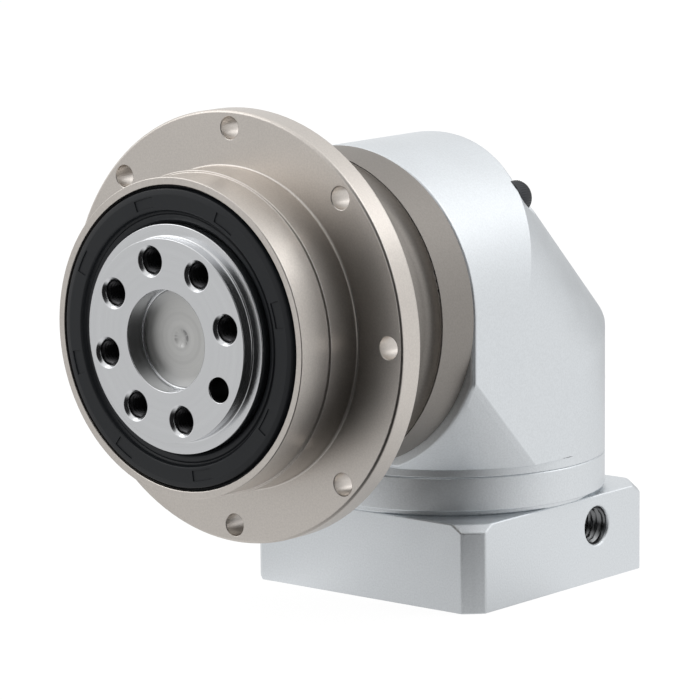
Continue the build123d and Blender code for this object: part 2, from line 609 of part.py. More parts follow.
def housing_screw_holes():
    """Clearance holes from the rear with a pocket for each head."""
    holes = []
    for angle, seat in screw_places():
        place = OUTPUT * Rot(Z=angle) * Pos(SCREW_CIRCLE_RADIUS, 0, 0)
        holes.append(place * rod(M4_RADIUS + SCREW_FIT, seat, HOUSING_FRONT + CUT_MARGIN))
        holes.append(place * rod(POCKET_RADIUS, -2 * BODY_RADIUS, seat + WASHER_THICKNESS))
    return holes


def housing_screws():
    """Four screws that clamp the output housing to the angle housing."""
    screws = []
    for angle, seat in screw_places():
        screw = Rot(X=180) * socket_screw(HOUSING_FRONT + SCREW_GRIP - THREAD_END - seat)
        screws.append(OUTPUT * Rot(Z=angle) * Pos(SCREW_CIRCLE_RADIUS, 0, seat) * screw)
    return group(screws)


def screw_washers():
    """Plain washers under the housing screws' heads."""
    washers = []
    for angle, seat in screw_places():
        washer = tube(WASHER_RADIUS, M4_RADIUS + SCREW_FIT, seat, seat + WASHER_THICKNESS)
        washers.append(OUTPUT * Rot(Z=angle) * Pos(SCREW_CIRCLE_RADIUS, 0, 0) * washer)
    return group(washers)


def plate_screw_threads():
    """Threaded holes up into the foot of the angle housing."""
    top = RING_TOP + PLATE_SCREW_GRIP
    return circle_of(rod(M4_RADIUS + SCREW_FIT, RING_TOP - CUT_MARGIN, top), PLATE_SCREW_COUNT, PLATE_SCREW_CIRCLE)


def plate_screws():
    """Four screws from the motor face through the plate and the ring."""
    seat = MOTOR_PILOT_DEPTH + PLATE_SCREW_SEAT
    screw = Pos(0, 0, seat) * Rot(X=180) * socket_screw(RING_TOP + PLATE_SCREW_GRIP - THREAD_END - seat)
    return group(circle_of(screw, PLATE_SCREW_COUNT, PLATE_SCREW_CIRCLE))


def input_ring():
    """Ring between the plate and the housing that carries the input seal."""
    inner = SEAL_JOURNAL_RADIUS + INPUT_SEAL_OVERLAP
    seal_top = PLATE_THICKNESS + INPUT_SEAL_LIFT + INPUT_SEAL_WIDTH
    ring = turned((INPUT_SEAL_OUTER, PLATE_THICKNESS), (RING_NECK_RADIUS, PLATE_THICKNESS),
                  (RING_NECK_RADIUS, RING_BOTTOM), (BODY_RADIUS, RING_BOTTOM), (BODY_RADIUS, RING_TOP),
                  (INPUT_BEARING["outer"] - SEAT_FIT, RING_TOP),
                  (INPUT_BEARING["outer"] - SEAT_FIT, SPIGOT_TOP), (inner, SPIGOT_TOP),
                  (inner, seal_top), (INPUT_SEAL_OUTER, seal_top))
    hole = rod(M4_RADIUS + SCREW_FIT, PLATE_THICKNESS, RING_TOP)
    return ring - circle_of(hole, PLATE_SCREW_COUNT, PLATE_SCREW_CIRCLE)


def input_seal():
    """Rotary shaft seal on the input shaft."""
    low = PLATE_THICKNESS + INPUT_SEAL_LIFT
    return tube(INPUT_SEAL_OUTER - SEAT_FIT, SEAL_JOURNAL_RADIUS + RUNNING_FIT, low, low + INPUT_SEAL_WIDTH)


def motor_plate():
    """Square motor plate with turned corners, pilot bore and tapped holes."""
    blank = turned((0, 0), (PLATE_CORNER_RADIUS, 0), (PLATE_CORNER_RADIUS, PLATE_THICKNESS - PLATE_CHAMFER),
                   (PLATE_CORNER_RADIUS - PLATE_CHAMFER, PLATE_THICKNESS), (0, PLATE_THICKNESS))
    plate = blank & Box(PLATE_SIZE, PLATE_SIZE, 4 * PLATE_THICKNESS)
    plate -= rod(MOTOR_PILOT_RADIUS, 0, MOTOR_PILOT_DEPTH)
    plate -= rod(HUB_RADIUS + HUB_ROOM, 0, PLATE_THICKNESS)
    plate -= circle_of(rod(MOTOR_HOLE_RADIUS, 0, MOTOR_HOLE_DEPTH), MOTOR_HOLE_COUNT, MOTOR_CIRCLE_RADIUS,
                       MOTOR_HOLE_ANGLE)
    seat = MOTOR_PILOT_DEPTH + PLATE_SCREW_SEAT
    plate -= circle_of(rod(M4_RADIUS + SCREW_FIT, seat, PLATE_THICKNESS), PLATE_SCREW_COUNT, PLATE_SCREW_CIRCLE)
    plate -= circle_of(rod(M4_HEAD_RADIUS + M4_HEAD_ROOM, 0, seat), PLATE_SCREW_COUNT, PLATE_SCREW_CIRCLE)
    return plate - access_hole()


def access_hole():
    """Side hole that lines up with the clamp screw."""
    edge = PLATE_SIZE / 2
    mouth = ACCESS_MOUTH_RADIUS - ACCESS_HOLE_RADIUS
    return clamp_frame() * turned((0, 0), (ACCESS_HOLE_RADIUS, 0), (ACCESS_HOLE_RADIUS, edge - mouth),
                                  (ACCESS_MOUTH_RADIUS, edge), (0, edge))


def input_shaft():
    """Hollow clamp hub for the motor shaft, seal journal, bearing seat and gear seat."""
    top = AXIS_HEIGHT - inner_cone_height() + NUT_LENGTH + SHAFT_STUB
    pinion_back = AXIS_HEIGHT - PINION_BACK
    shaft = turned((0, HUB_LOW + CLAMP_DEPTH), (MOTOR_SHAFT_RADIUS, HUB_LOW + CLAMP_DEPTH),
                   (MOTOR_SHAFT_RADIUS, HUB_LOW), (HUB_RADIUS, HUB_LOW), (HUB_RADIUS, HUB_TOP),
                   (SEAL_JOURNAL_RADIUS, HUB_TOP), (SEAL_JOURNAL_RADIUS, SPIGOT_TOP),
                   (INPUT_BEARING["shaft"], SPIGOT_TOP), (INPUT_BEARING["shaft"], pinion_back),
                   (GEAR_SEAT_RADIUS, pinion_back), (GEAR_SEAT_RADIUS, top), (0, top))
    slit_middle = Pos(0, HUB_RADIUS / 2, HUB_LOW + SLIT_LENGTH / 2)
    shaft -= slit_middle * Box(SLIT_WIDTH, HUB_RADIUS + CUT_MARGIN, SLIT_LENGTH)
    screw_end = CLAMP_SCREW_SEAT - CLAMP_SCREW_LENGTH - THREAD_END
    shaft -= clamp_frame() * rod(M4_RADIUS + SCREW_FIT, screw_end, HUB_RADIUS)
    shaft -= clamp_frame() * rod(M4_HEAD_RADIUS + M4_HEAD_ROOM, CLAMP_SCREW_SEAT, HUB_RADIUS)
    return shaft - PINION * key_space(SEAT_FIT)


def clamp_frame():
    """Frame of the clamp screw, with local z towards its head."""
    return Plane(origin=(0, CLAMP_SCREW_OFFSET, CLAMP_SCREW_HEIGHT), z_dir=(1, 0, 0)).location


def clamp_screw():
    """Screw that closes the slit of the clamp hub."""
    return clamp_frame() * Pos(0, 0, CLAMP_SCREW_SEAT) * socket_screw(CLAMP_SCREW_LENGTH)


def sun_shaft():
    """Sun gear on the shaft that carries the driven mitre gear."""
    sun_low = WINDOW_REAR - SUN_OFFSET
    sun_high = WINDOW_FRONT - SUN_OFFSET
    neck = SUN_PITCH - DEDENDUM * GEAR_MODULE - SUN_NECK_STEP
    low = inner_cone_height() - NUT_LENGTH - SHAFT_STUB
    seat_front = GEAR_BACK + BEVEL_BEARING["width"]
    shaft = turned((0, low), (GEAR_SEAT_RADIUS, low), (GEAR_SEAT_RADIUS, GEAR_BACK),
                   (BEVEL_BEARING["shaft"], GEAR_BACK), (BEVEL_BEARING["shaft"], seat_front),
                   (neck, seat_front), (neck, sun_high), (0, sun_high))
    return shaft + spur_gear(SUN_TEETH, SUN_PITCH, sun_low, sun_high) - key_space(SEAT_FIT)


def planet_bore():
    """Radius of the bore in a planet gear."""
    return PIN_RADIUS + RUNNING_FIT + BUSH_WALL


def planet_gear(index):
    """Planet gear in mesh with the sun and the ring gear."""
    low = WINDOW_REAR + GEAR_SIDE_PLAY
    gear = spur_gear(PLANET_TEETH, PLANET_PITCH, low, low + GEAR_WIDTH)
    gear -= rod(planet_bore(), low, low + GEAR_WIDTH)
    place = Rot(Z=planet_angle(index)) * Pos(CENTRE_DISTANCE, 0, 0)
    return OUTPUT * place * Rot(Z=planet_turn(index) - planet_angle(index)) * gear


def planet_bush(index):
    """Plain bush pressed into a planet gear."""
    low = WINDOW_REAR + GEAR_SIDE_PLAY
    bush = tube(planet_bore() - SEAT_FIT, PIN_RADIUS + RUNNING_FIT, low, low + GEAR_WIDTH)
    return OUTPUT * Rot(Z=planet_angle(index)) * Pos(CENTRE_DISTANCE, 0, 0) * bush


def planet_pins():
    """Pins that carry the planets in the cage."""
    pin = rod(PIN_RADIUS, CAGE_REAR + PIN_PLAY, WINDOW_FRONT + PIN_DEPTH - PIN_PLAY)
    return OUTPUT * group(circle_of(pin, PLANET_COUNT, CENTRE_DISTANCE, planet_angle(0)))


def all_nodes():
    """Every sub-part of the gearbox by node name."""
    bevel_angle = 270
    pinion_angle = 90 + 180 / BEVEL_TEETH
    nodes = {
        "output_housing": OUTPUT * output_housing(),
        "output_seal": OUTPUT * output_seal(),
        "front_bearing_outer_ring": OUTPUT * outer_ring(FRONT_BEARING, FRONT_SEAT),
        "front_retaining_ring": OUTPUT * retaining_ring(),
        "rear_bearing_outer_ring": OUTPUT * outer_ring(REAR_BEARING, REAR_SEAT),
        "angle_housing": angle_housing(),
        "housing_screws": housing_screws(),
        "screw_washers": screw_washers(),
        "bevel_bearing_outer_ring": OUTPUT * outer_ring(BEVEL_BEARING, GEAR_BACK),
        "input_bearing_outer_ring": PINION * outer_ring(INPUT_BEARING, PINION_BACK),
        "input_ring": input_ring(),
        "input_seal": input_seal(),
        "motor_plate": motor_plate(),
        "plate_screws": plate_screws(),
        "output_carrier": OUTPUT * output_carrier(),
        "end_plug": OUTPUT * end_plug(),
        "planet_pins": planet_pins(),
        "front_bearing_inner_ring": OUTPUT * inner_ring(FRONT_BEARING, FRONT_SEAT),
        "rear_bearing_inner_ring": OUTPUT * inner_ring(REAR_BEARING, REAR_SEAT),
        "sun_shaft": OUTPUT * sun_shaft(),
        "bevel_gear": OUTPUT * bevel_wheel(bevel_angle),
        "gear_key": OUTPUT * key_space(0),
        "gear_nut": OUTPUT * gear_nut(),
        "bevel_bearing_inner_ring": OUTPUT * inner_ring(BEVEL_BEARING, GEAR_BACK),
        "input_shaft": input_shaft(),
        "bevel_pinion": PINION * bevel_wheel(pinion_angle),
        "pinion_key": PINION * key_space(0),
        "pinion_nut": PINION * gear_nut(),
        "input_bearing_inner_ring": PINION * inner_ring(INPUT_BEARING, PINION_BACK),
        "clamp_screw": clamp_screw(),
        "front_bearing_rollers": OUTPUT * rollers(FRONT_BEARING, FRONT_SEAT),
        "rear_bearing_rollers": OUTPUT * rollers(REAR_BEARING, REAR_SEAT),
        "bevel_bearing_rollers": OUTPUT * rollers(BEVEL_BEARING, GEAR_BACK),
        "input_bearing_rollers": PINION * rollers(INPUT_BEARING, PINION_BACK),
    }
    for index in range(PLANET_COUNT):
        nodes[f"planet_gear_{index + 1}"] = planet_gear(index)
        nodes[f"planet_bush_{index + 1}"] = planet_bush(index)
    return nodes


os.makedirs("parts", exist_ok=True)
for name, shape in all_nodes().items():
    export_step(shape, f"parts/{name}.step")
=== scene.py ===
"""Finishes of a right-angle planetary gearbox with an output flange.

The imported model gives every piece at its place. The pieces that show are
rebuilt here with rounded edges and smooth curves, and the screws, threads
and shaft seal get the detail of the real ones. Lengths in the classes are
millimetres and become metres when a mesh is made.
"""
from __future__ import annotations

import json
import logging
import math
from dataclasses import dataclass
from enum import Enum

import bmesh
import bpy
import numpy as np
from mathutils import Matrix, Vector

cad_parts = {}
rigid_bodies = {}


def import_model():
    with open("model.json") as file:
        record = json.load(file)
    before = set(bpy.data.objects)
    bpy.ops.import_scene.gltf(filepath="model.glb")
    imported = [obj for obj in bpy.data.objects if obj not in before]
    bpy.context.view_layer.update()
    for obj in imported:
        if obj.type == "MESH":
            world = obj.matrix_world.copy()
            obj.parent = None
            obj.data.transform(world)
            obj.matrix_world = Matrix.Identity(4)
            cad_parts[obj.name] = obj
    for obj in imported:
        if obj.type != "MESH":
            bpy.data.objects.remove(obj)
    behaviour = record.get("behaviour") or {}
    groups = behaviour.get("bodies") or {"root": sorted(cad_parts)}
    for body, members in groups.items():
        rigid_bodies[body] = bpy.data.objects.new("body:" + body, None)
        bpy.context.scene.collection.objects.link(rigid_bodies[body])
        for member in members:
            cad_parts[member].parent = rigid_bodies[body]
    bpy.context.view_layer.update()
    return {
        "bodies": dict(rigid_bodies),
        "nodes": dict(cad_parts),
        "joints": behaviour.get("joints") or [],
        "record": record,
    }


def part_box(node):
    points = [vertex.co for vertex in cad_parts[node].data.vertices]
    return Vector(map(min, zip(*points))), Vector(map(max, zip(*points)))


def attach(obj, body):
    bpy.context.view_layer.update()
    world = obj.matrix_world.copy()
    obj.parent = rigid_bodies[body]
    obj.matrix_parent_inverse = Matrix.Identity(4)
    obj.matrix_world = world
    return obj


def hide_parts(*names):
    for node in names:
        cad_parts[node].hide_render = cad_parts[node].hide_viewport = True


Triple = tuple[float, float, float]
Line = tuple[Triple, Triple]

LOG = logging.getLogger("gearbox")
MM = 0.001
TURN = 2.0 * math.pi
SAME_POINT = 1e-7
SAME_CORNER = 2e-6
SMALL = 1e-6
FLAT_ANGLE = math.radians(0.3)
ROUNDED_ANGLE = math.radians(30.0)
KNURL_SHARP = 40.0
FILLET_SHARP = 60.0
MOTTLES = 2600.0
# label of the near-black steel of hole walls: its colour is painted shade inside the holes
PAINTED_SHADE_HOLE_WALL = "hole_wall_painted_shade"
# label of the dark aluminium of cut threads: its colour is painted shade inside the holes
PAINTED_SHADE_CUT_THREAD = "cut_thread_painted_shade"
WHITE = (1.0, 1.0, 1.0, 1.0)
RIGHT: Triple = (1.0, 0.0, 0.0)
LEFT: Triple = (-1.0, 0.0, 0.0)
BACK: Triple = (0.0, 1.0, 0.0)
FRONT: Triple = (0.0, -1.0, 0.0)
UP: Triple = (0.0, 0.0, 1.0)
DOWN: Triple = (0.0, 0.0, -1.0)


class Part(str, Enum):
    """Bodies that new pieces ride on."""

    HOUSING = "housing"
    OUTPUT = "output"
    INPUT = "input"


class Slot(str, Enum):
    """Material slots of the record."""

    STEEL = "ground_steel"
    NICKEL = "nickel_housing"
    ALUMINIUM = "blasted_aluminium"
    RUBBER = "seal_rubber"
    BLACK = "black_oxide"
    PLUG = "plug_steel"
    BEARING = "bearing_steel"
    GEAR = "gear_steel"
    BRONZE = "bush_bronze"


@dataclass(frozen=True)
class Axis:
    """A frame for turned pieces: origin and right, up and forward directions."""

    origin: Triple
    right: Triple
    up: Triple
    forward: Triple

    def place(self, points: np.ndarray) -> np.ndarray:
        """Turns local points into the gearbox's frame.

        Args:
            points: Array whose last axis holds right, up and forward.

        Returns:
            Array of the same shape in the gearbox's frame.
        """
        basis = np.array([self.right, self.up, self.forward], float)
        return np.asarray(points, float) @ basis + np.array(self.origin, float)

    def moved(self, right: float, up: float, forward: float) -> "Axis":
        """A parallel frame whose origin is shifted by the three local lengths."""
        origin = self.place(np.array([right, up, forward]))
        return Axis(tuple(origin), self.right, self.up, self.forward)

    def around(self, radius: float, turn: float, forward: float) -> "Axis":
        """A parallel frame on a circle round this one, at an angle in radians."""
        return self.moved(radius * math.cos(turn), radius * math.sin(turn), forward)


@dataclass
class Shell:
    """Points and four-sided faces of a surface in millimetres."""

    points: np.ndarray
    faces: np.ndarray

    @staticmethod
    def grid(points: np.ndarray, wrap: bool = True) -> "Shell":
        """Joins a grid of points by four-sided faces.

        Args:
            points: Array of rows, columns and three coordinates.
            wrap: Whether the last column joins the first.

        Returns:
            The surface.
        """
        rows, columns = points.shape[:2]
        index = np.arange(rows * columns).reshape(rows, columns)
        after = np.roll(index, -1, axis=1)
        if not wrap:
            index, after = index[:, :-1], after[:, :-1]
        faces = np.stack([index[:-1], after[:-1], after[1:], index[1:]], axis=-1)
        return Shell(points.reshape(-1, 3), faces.reshape(-1, 4))

    @staticmethod
    def joined(shells: list["Shell"]) -> "Shell":
        """Puts several surfaces into one.

        Args:
            shells: The surfaces.

        Returns:
            One surface with all their points and faces.
        """
        offsets = np.cumsum([0] + [len(shell.points) for shell in shells[:-1]])
        faces = [shell.faces + offset for shell, offset in zip(shells, offsets)]
        return Shell(np.concatenate([shell.points for shell in shells]), np.concatenate(faces))

    def piece(self, name: str, sharp: float = 35.0) -> bpy.types.Object:
        """Makes the mesh object, with doubles merged and faces pointing outwards.

        Args:
            name: Name of the new object.
            sharp: Angle in degrees past which an edge stays sharp.

        Returns:
            The object, at the origin and unturned.
        """
        mesh = bpy.data.meshes.new(name)
        mesh.from_pydata((self.points * MM).tolist(), [], self.faces.tolist())
        edit = bmesh.new()
        edit.from_mesh(mesh)
        bmesh.ops.remove_doubles(edit, verts=edit.verts, dist=SAME_POINT)
        bmesh.ops.recalc_face_normals(edit, faces=edit.faces)
        edit.to_mesh(mesh)
        edit.free()
        smooth(mesh, sharp)
        thing = bpy.data.objects.new(name, mesh)
        bpy.context.scene.collection.objects.link(thing)
        return thing


def smooth(mesh: bpy.types.Mesh, sharp: float) -> None:
    """Shades a mesh smooth, apart from edges that turn by more than the angle in degrees."""
    mesh.shade_smooth()
    mesh.set_sharp_from_angle(angle=math.radians(sharp))


def read(items: object, name: str, width: int, kind: type = float) -> np.ndarray:
    """Reads one property of all items of a mesh.

    Args:
        items: Vertices, edges, corners or faces.
        name: Name of the property.
        width: Values for each item.
        kind: Kind of the values.

    Returns:
        Array of items and values.
    """
    values = np.empty(len(items) * width, kind)
    items.foreach_get(name, values)
    return values.reshape(-1, width)


def full_turn(columns: int) -> np.ndarray:
    """Even angles of a full turn in radians."""
    return np.linspace(0.0, TURN, columns, endpoint=False)


def wound(radius: np.ndarray, angle: np.ndarray, forward: np.ndarray) -> np.ndarray:
    """Points round an axis: radius times cosine, radius times sine, and forward.

    Args:
        radius: Array of rows and one or all columns.
        angle: Angles of the columns in radians.
        forward: Array of rows and one or all columns.

    Returns:
        Array of rows, columns and three coordinates.
    """
    forward = forward * np.ones_like(angle)
    return np.stack([radius * np.cos(angle), radius * np.sin(angle), forward], axis=-1)


def turned(profile: np.ndarray, axis: Axis, angle: np.ndarray,
           relief: np.ndarray | None = None) -> Shell:
    """Surface of revolution: each profile point (radius, forward) is carried round the axis.

    Args:
        profile: Array of rows and (radius, forward).
        axis: Frame whose forward direction is the axis.
        angle: Rising angles of the columns in radians.
        relief: Optional array of rows and columns added to forward.

    Returns:
        The surface.
    """
    forward = profile[:, 1:] if relief is None else profile[:, 1:] + relief
    return Shell.grid(axis.place(wound(profile[:, :1], angle, forward)))


def rounded(corners: list[Triple], steps: int = 5) -> np.ndarray:
    """Profile with rounded corners.

    Each corner (radius, forward, rounding) is cut by a quadratic curve between two
    points that lie the rounding's length from it, one on each side.

    Args:
        corners: Profile corners with the length that each gives up.
        steps: Points on each rounded corner.

    Returns:
        Array of (radius, forward).
    """
    points = [np.array(corners[0][:2])]
    share = np.linspace(0.0, 1.0, steps)[:, None]
    for before, here, after in zip(corners[:-2], corners[1:-1], corners[2:]):
        middle = np.array(here[:2])
        back = np.array(before[:2]) - middle
        ahead = np.array(after[:2]) - middle
        first = middle + back / np.linalg.norm(back) * here[2]
        last = middle + ahead / np.linalg.norm(ahead) * here[2]
        points.extend((1 - share) ** 2 * first + 2 * share * (1 - share) * middle
                      + share ** 2 * last)
    points.append(np.array(corners[-1][:2]))
    return np.array(points)


class Nodes:
    """Builds a shader or group node tree from short calls."""

    def __init__(self, tree: bpy.types.NodeTree) -> None:
        self.tree = tree
        tree.nodes.clear()

    def add(self, kind: str, **settings: object) -> bpy.types.Node:
        """Adds a node.

        Args:
            kind: Its type.
            settings: Its named properties.

        Returns:
            The node.
        """
        node = self.tree.nodes.new(kind)
        for name, value in settings.items():
            setattr(node, name, value)
        return node

    def link(self, source: bpy.types.NodeSocket, target: bpy.types.NodeSocket) -> None:
        """Links an output socket to an input socket."""
        self.tree.links.new(source, target)

    def feed(self, target: bpy.types.NodeSocket, value: object) -> None:
        """Links a socket or sets a plain value.

        Args:
            target: The input socket.
            value: Output socket or value.
        """
        if isinstance(value, bpy.types.NodeSocket):
            self.link(value, target)
        else:
            target.default_value = value

    def maths(self, operation: str, *values: object) -> bpy.types.NodeSocket:
        """Adds a Math node.

        Args:
            operation: What it does.
            values: Sockets or values of its inputs.

        Returns:
            Socket with the result.
        """
        node = self.add("ShaderNodeMath", operation=operation)
        for socket, value in zip(node.inputs, values):
            self.feed(socket, value)
        return node.outputs[0]

    def place(self) -> bpy.types.NodeSocket:
        """Adds the Object coordinates and returns them."""
        return self.add("ShaderNodeTexCoord").outputs["Object"]

    def noise(self, place: object, scale: object, detail: float = 2.0, rough: float = 0.5,
              dimensions: str = "3D") -> bpy.types.NodeSocket:
        """Adds a Noise Texture.

        Args:
            place: Socket or value that the noise reads.
            scale: Socket or value of the scale.
            detail: Number of finer layers.
            rough: Share of the finer layers.
            dimensions: Whether the place is a vector or one number.

        Returns:
            Socket with the noise, from 0 to 1.
        """
        node = self.add("ShaderNodeTexNoise", noise_dimensions=dimensions)
        self.feed(node.inputs["W" if dimensions == "1D" else "Vector"], place)
        self.feed(node.inputs["Scale"], scale)
        node.inputs["Detail"].default_value = detail
        node.inputs["Roughness"].default_value = rough
        return node.outputs[0]

    def ramp(self, value: object, low: float, high: float, out_low: float = 0.0,
             out_high: float = 1.0) -> bpy.types.NodeSocket:
        """Adds a clamped Map Range.

        Args:
            value: Socket or value to map.
            low: Value that gives the first result.
            high: Value that gives the last result.
            out_low: First result.
            out_high: Last result.

        Returns:
            Socket with the result.
        """
        node = self.add("ShaderNodeMapRange")
        self.feed(node.inputs["Value"], value)
        node.inputs["From Min"].default_value = low
        node.inputs["From Max"].default_value = high
        node.inputs["To Min"].default_value = out_low
        node.inputs["To Max"].default_value = out_high
        return node.outputs[0]

    def mixed(self, share: bpy.types.NodeSocket, first: bpy.types.NodeSocket,
              second: bpy.types.NodeSocket) -> bpy.types.NodeSocket:
        """Mixes two shaders.

        Args:
            share: Socket with the second shader's share.
            first: Socket of the first shader.
            second: Socket of the second shader.

        Returns:
            Socket with the mixed shader.
        """
        node = self.add("ShaderNodeMixShader")
        for socket, source in zip(node.inputs, (share, first, second)):
            self.link(source, socket)
        return node.outputs[0]

    def by_ray(self, camera: bpy.types.NodeSocket, metal: bpy.types.NodeSocket,
               rest: bpy.types.NodeSocket) -> bpy.types.NodeSocket:
        """Picks a shader by what meets it.

        Args:
            camera: Shader that the camera sees.
            metal: Shader that polished surfaces mirror.
            rest: Shader that lights the rest.

        Returns:
            Socket with the picked shader.
        """
        path = self.add("ShaderNodeLightPath")
        unseen = self.mixed(path.outputs["Is Glossy Ray"], rest, metal)
        return self.mixed(path.outputs["Is Camera Ray"], unseen, camera)


def group(name: str, inputs: dict[str, float],
          outputs: tuple[str, ...]) -> tuple[bpy.types.NodeTree, Nodes]:
    """Makes an empty shader node group with float sockets.

    Args:
        name: Name of the group.
        inputs: Names of the inputs, with their values.
        outputs: Names of the outputs.

    Returns:
        The group and the builder of its nodes.
    """
    tree = bpy.data.node_groups.new(name, "ShaderNodeTree")
    for socket, value in inputs.items():
        made = tree.interface.new_socket(socket, in_out="INPUT", socket_type="NodeSocketFloat")
        made.default_value = value
    for socket in outputs:
        tree.interface.new_socket(socket, in_out="OUTPUT", socket_type="NodeSocketFloat")
    return tree, Nodes(tree)


def grain_group() -> bpy.types.NodeTree:
    """Fine grain of a blasted or moulded surface.

    Returns:
        The group, with close pits and slow, cloudy changes of tone.
    """
    tree, nodes = group("surface_grain", {"Grains": 3500.0, "Clouds": 60.0}, ("Pits", "Clouds"))
    given = nodes.add("NodeGroupInput")
    out = nodes.add("NodeGroupOutput")
    place = nodes.place()
    nodes.link(nodes.noise(place, given.outputs["Grains"]), out.inputs["Pits"])
    nodes.link(nodes.noise(place, given.outputs["Clouds"], 4.0), out.inputs["Clouds"])
    return tree


def lathe_group(height: float) -> bpy.types.NodeTree:
    """Lathe marks round the output axis.

    The marks are a noise of one value: the distance from the axis plus the distance
    along it, so that faces get rings and cylinders get hoops.

    Args:
        height: Height of the output axis in metres.

    Returns:
        The group, with the marks' height and a slower change of tone.
    """
    tree, nodes = group("lathe_marks", {"Fineness": 9000.0, "Bands": 700.0}, ("Marks", "Bands"))
    given = nodes.add("NodeGroupInput")
    place = nodes.add("ShaderNodeSeparateXYZ")
    nodes.link(nodes.place(), place.inputs[0])
    up = nodes.maths("SUBTRACT", place.outputs["Z"], height)
    across = nodes.maths("MULTIPLY", place.outputs["X"], place.outputs["X"])
    radius = nodes.maths("SQRT", nodes.maths("ADD", across, nodes.maths("MULTIPLY", up, up)))
    travel = nodes.maths("ADD", radius, place.outputs["Y"])
    out = nodes.add("NodeGroupOutput")
    for name, source in (("Marks", "Fineness"), ("Bands", "Bands")):
        along = nodes.maths("MULTIPLY", travel, given.outputs[source])
        nodes.link(nodes.noise(along, 1.0, dimensions="1D"), out.inputs[name])
    return tree


@dataclass(frozen=True)
class RearPaintedShadeAndRoughness:
    """Section behind a border, with painted shade and more roughness: the border's y in mm, the
    tone factor of the painted shade and added roughness.
    """

    border: float
    tone: float
    roughness: float
    blend: float = 0.1


@dataclass(frozen=True)
class Finish:
    """A surface finish: colour, metal, gloss and the marks that the tool left."""

    slot: Slot
    colour: Triple
    metallic: float = 1.0
    roughness: float = 0.3
    tone: float = 0.04
    roughness_change: float = 0.06
    grain_depth: float = 0.0
    grains: float = 3500.0
    clouds: float = 60.0
    lathe_depth: float = 0.0
    fineness: float = 9000.0
    bands: float = 700.0
    specular: float = 0.5
    label: str = ""
    mottle: float = 0.0
    rear: RearPaintedShadeAndRoughness | None = None
    slow_span: tuple[float, float] = (0.3, 0.7)
    spot_span: tuple[float, float] = (0.35, 0.65)

    def name(self) -> str:
        """Name of the finish, which is its slot's unless it has a label."""
        return self.label or self.slot.value

    def shade(self, nodes: Nodes, slow: bpy.types.NodeSocket) -> bpy.types.NodeSocket:
        """Tone of the colour: slow changes, a fine mottle and painted shade on the rear section.

        Args:
            nodes: Builder of the material's tree.
            slow: Socket with the slow change.

        Returns:
            Socket with the factor of the colour.
        """
        tone = nodes.ramp(slow, *self.slow_span, 1.0 - self.tone, 1.0 + self.tone)
        if self.mottle:
            spots = nodes.noise(nodes.place(), MOTTLES, 3.0, 0.6)
            mottle = nodes.ramp(spots, *self.spot_span, 1.0 - self.mottle, 1.0 + self.mottle)
            tone = nodes.maths("MULTIPLY", tone, mottle)
        # painted shade: the rear section behind the border is darkened by the rear tone factor
        if self.rear:
            tone = nodes.maths("MULTIPLY", tone, self.behind(nodes, 1.0, self.rear.tone))
        return tone

    def behind(self, nodes: Nodes, front: float, rear: float) -> bpy.types.NodeSocket:
        """A value that steps from one number to another at the rear section's border.

        Args:
            nodes: Builder of the material's tree.
            front: Value in front of the border.
            rear: Value behind it.

        Returns:
            Socket with the value.
        """
        parts = nodes.add("ShaderNodeSeparateXYZ")
        nodes.link(nodes.place(), parts.inputs[0])
        border = self.rear.border * MM
        return nodes.ramp(parts.outputs["Y"], border, border + self.rear.blend * MM, front, rear)

    def material(self, grain: bpy.types.NodeTree, lathe: bpy.types.NodeTree) -> bpy.types.Material:
        """Builds the material.

        Tone and roughness follow the clouds and bands, and a bump follows the pits
        and the lathe marks.

        Args:
            grain: The grain group.
            lathe: The lathe marks group.

        Returns:
            The material.
        """
        material = bpy.data.materials.new(self.name())
        material.use_nodes = True
        nodes = Nodes(material.node_tree)
        surface = nodes.add("ShaderNodeBsdfPrincipled")
        out = nodes.add("ShaderNodeOutputMaterial")
        nodes.link(surface.outputs[0], out.inputs["Surface"])
        pits = nodes.add("ShaderNodeGroup", node_tree=grain)
        pits.inputs["Grains"].default_value = self.grains
        pits.inputs["Clouds"].default_value = self.clouds
        marks = nodes.add("ShaderNodeGroup", node_tree=lathe)
        marks.inputs["Fineness"].default_value = self.fineness
        marks.inputs["Bands"].default_value = self.bands
        slow = marks.outputs["Bands"] if self.lathe_depth else pits.outputs["Clouds"]
        shade = self.shade(nodes, slow)
        colour = nodes.add("ShaderNodeVectorMath", operation="SCALE")
        colour.inputs[0].default_value = self.colour
        nodes.link(shade, colour.inputs["Scale"])
        nodes.link(colour.outputs[0], surface.inputs["Base Color"])
        rough = nodes.ramp(slow, *self.slow_span, self.roughness - self.roughness_change,
                           self.roughness + self.roughness_change)
        if self.rear:
            rough = nodes.maths("ADD", rough, self.behind(nodes, 0.0, self.rear.roughness))
        nodes.link(rough, surface.inputs["Roughness"])
        surface.inputs["Metallic"].default_value = self.metallic
        surface.inputs["Specular IOR Level"].default_value = self.specular
        normal = None
        for depth, height in ((self.grain_depth, pits.outputs["Pits"]),
                              (self.lathe_depth, marks.outputs["Marks"])):
            if depth:
                bump = nodes.add("ShaderNodeBump")
                bump.inputs["Distance"].default_value = depth * MM
                nodes.link(height, bump.inputs["Height"])
                if normal:
                    nodes.link(normal, bump.inputs["Normal"])
                normal = bump.outputs[0]
        if normal:
            nodes.link(normal, surface.inputs["Normal"])
        return material


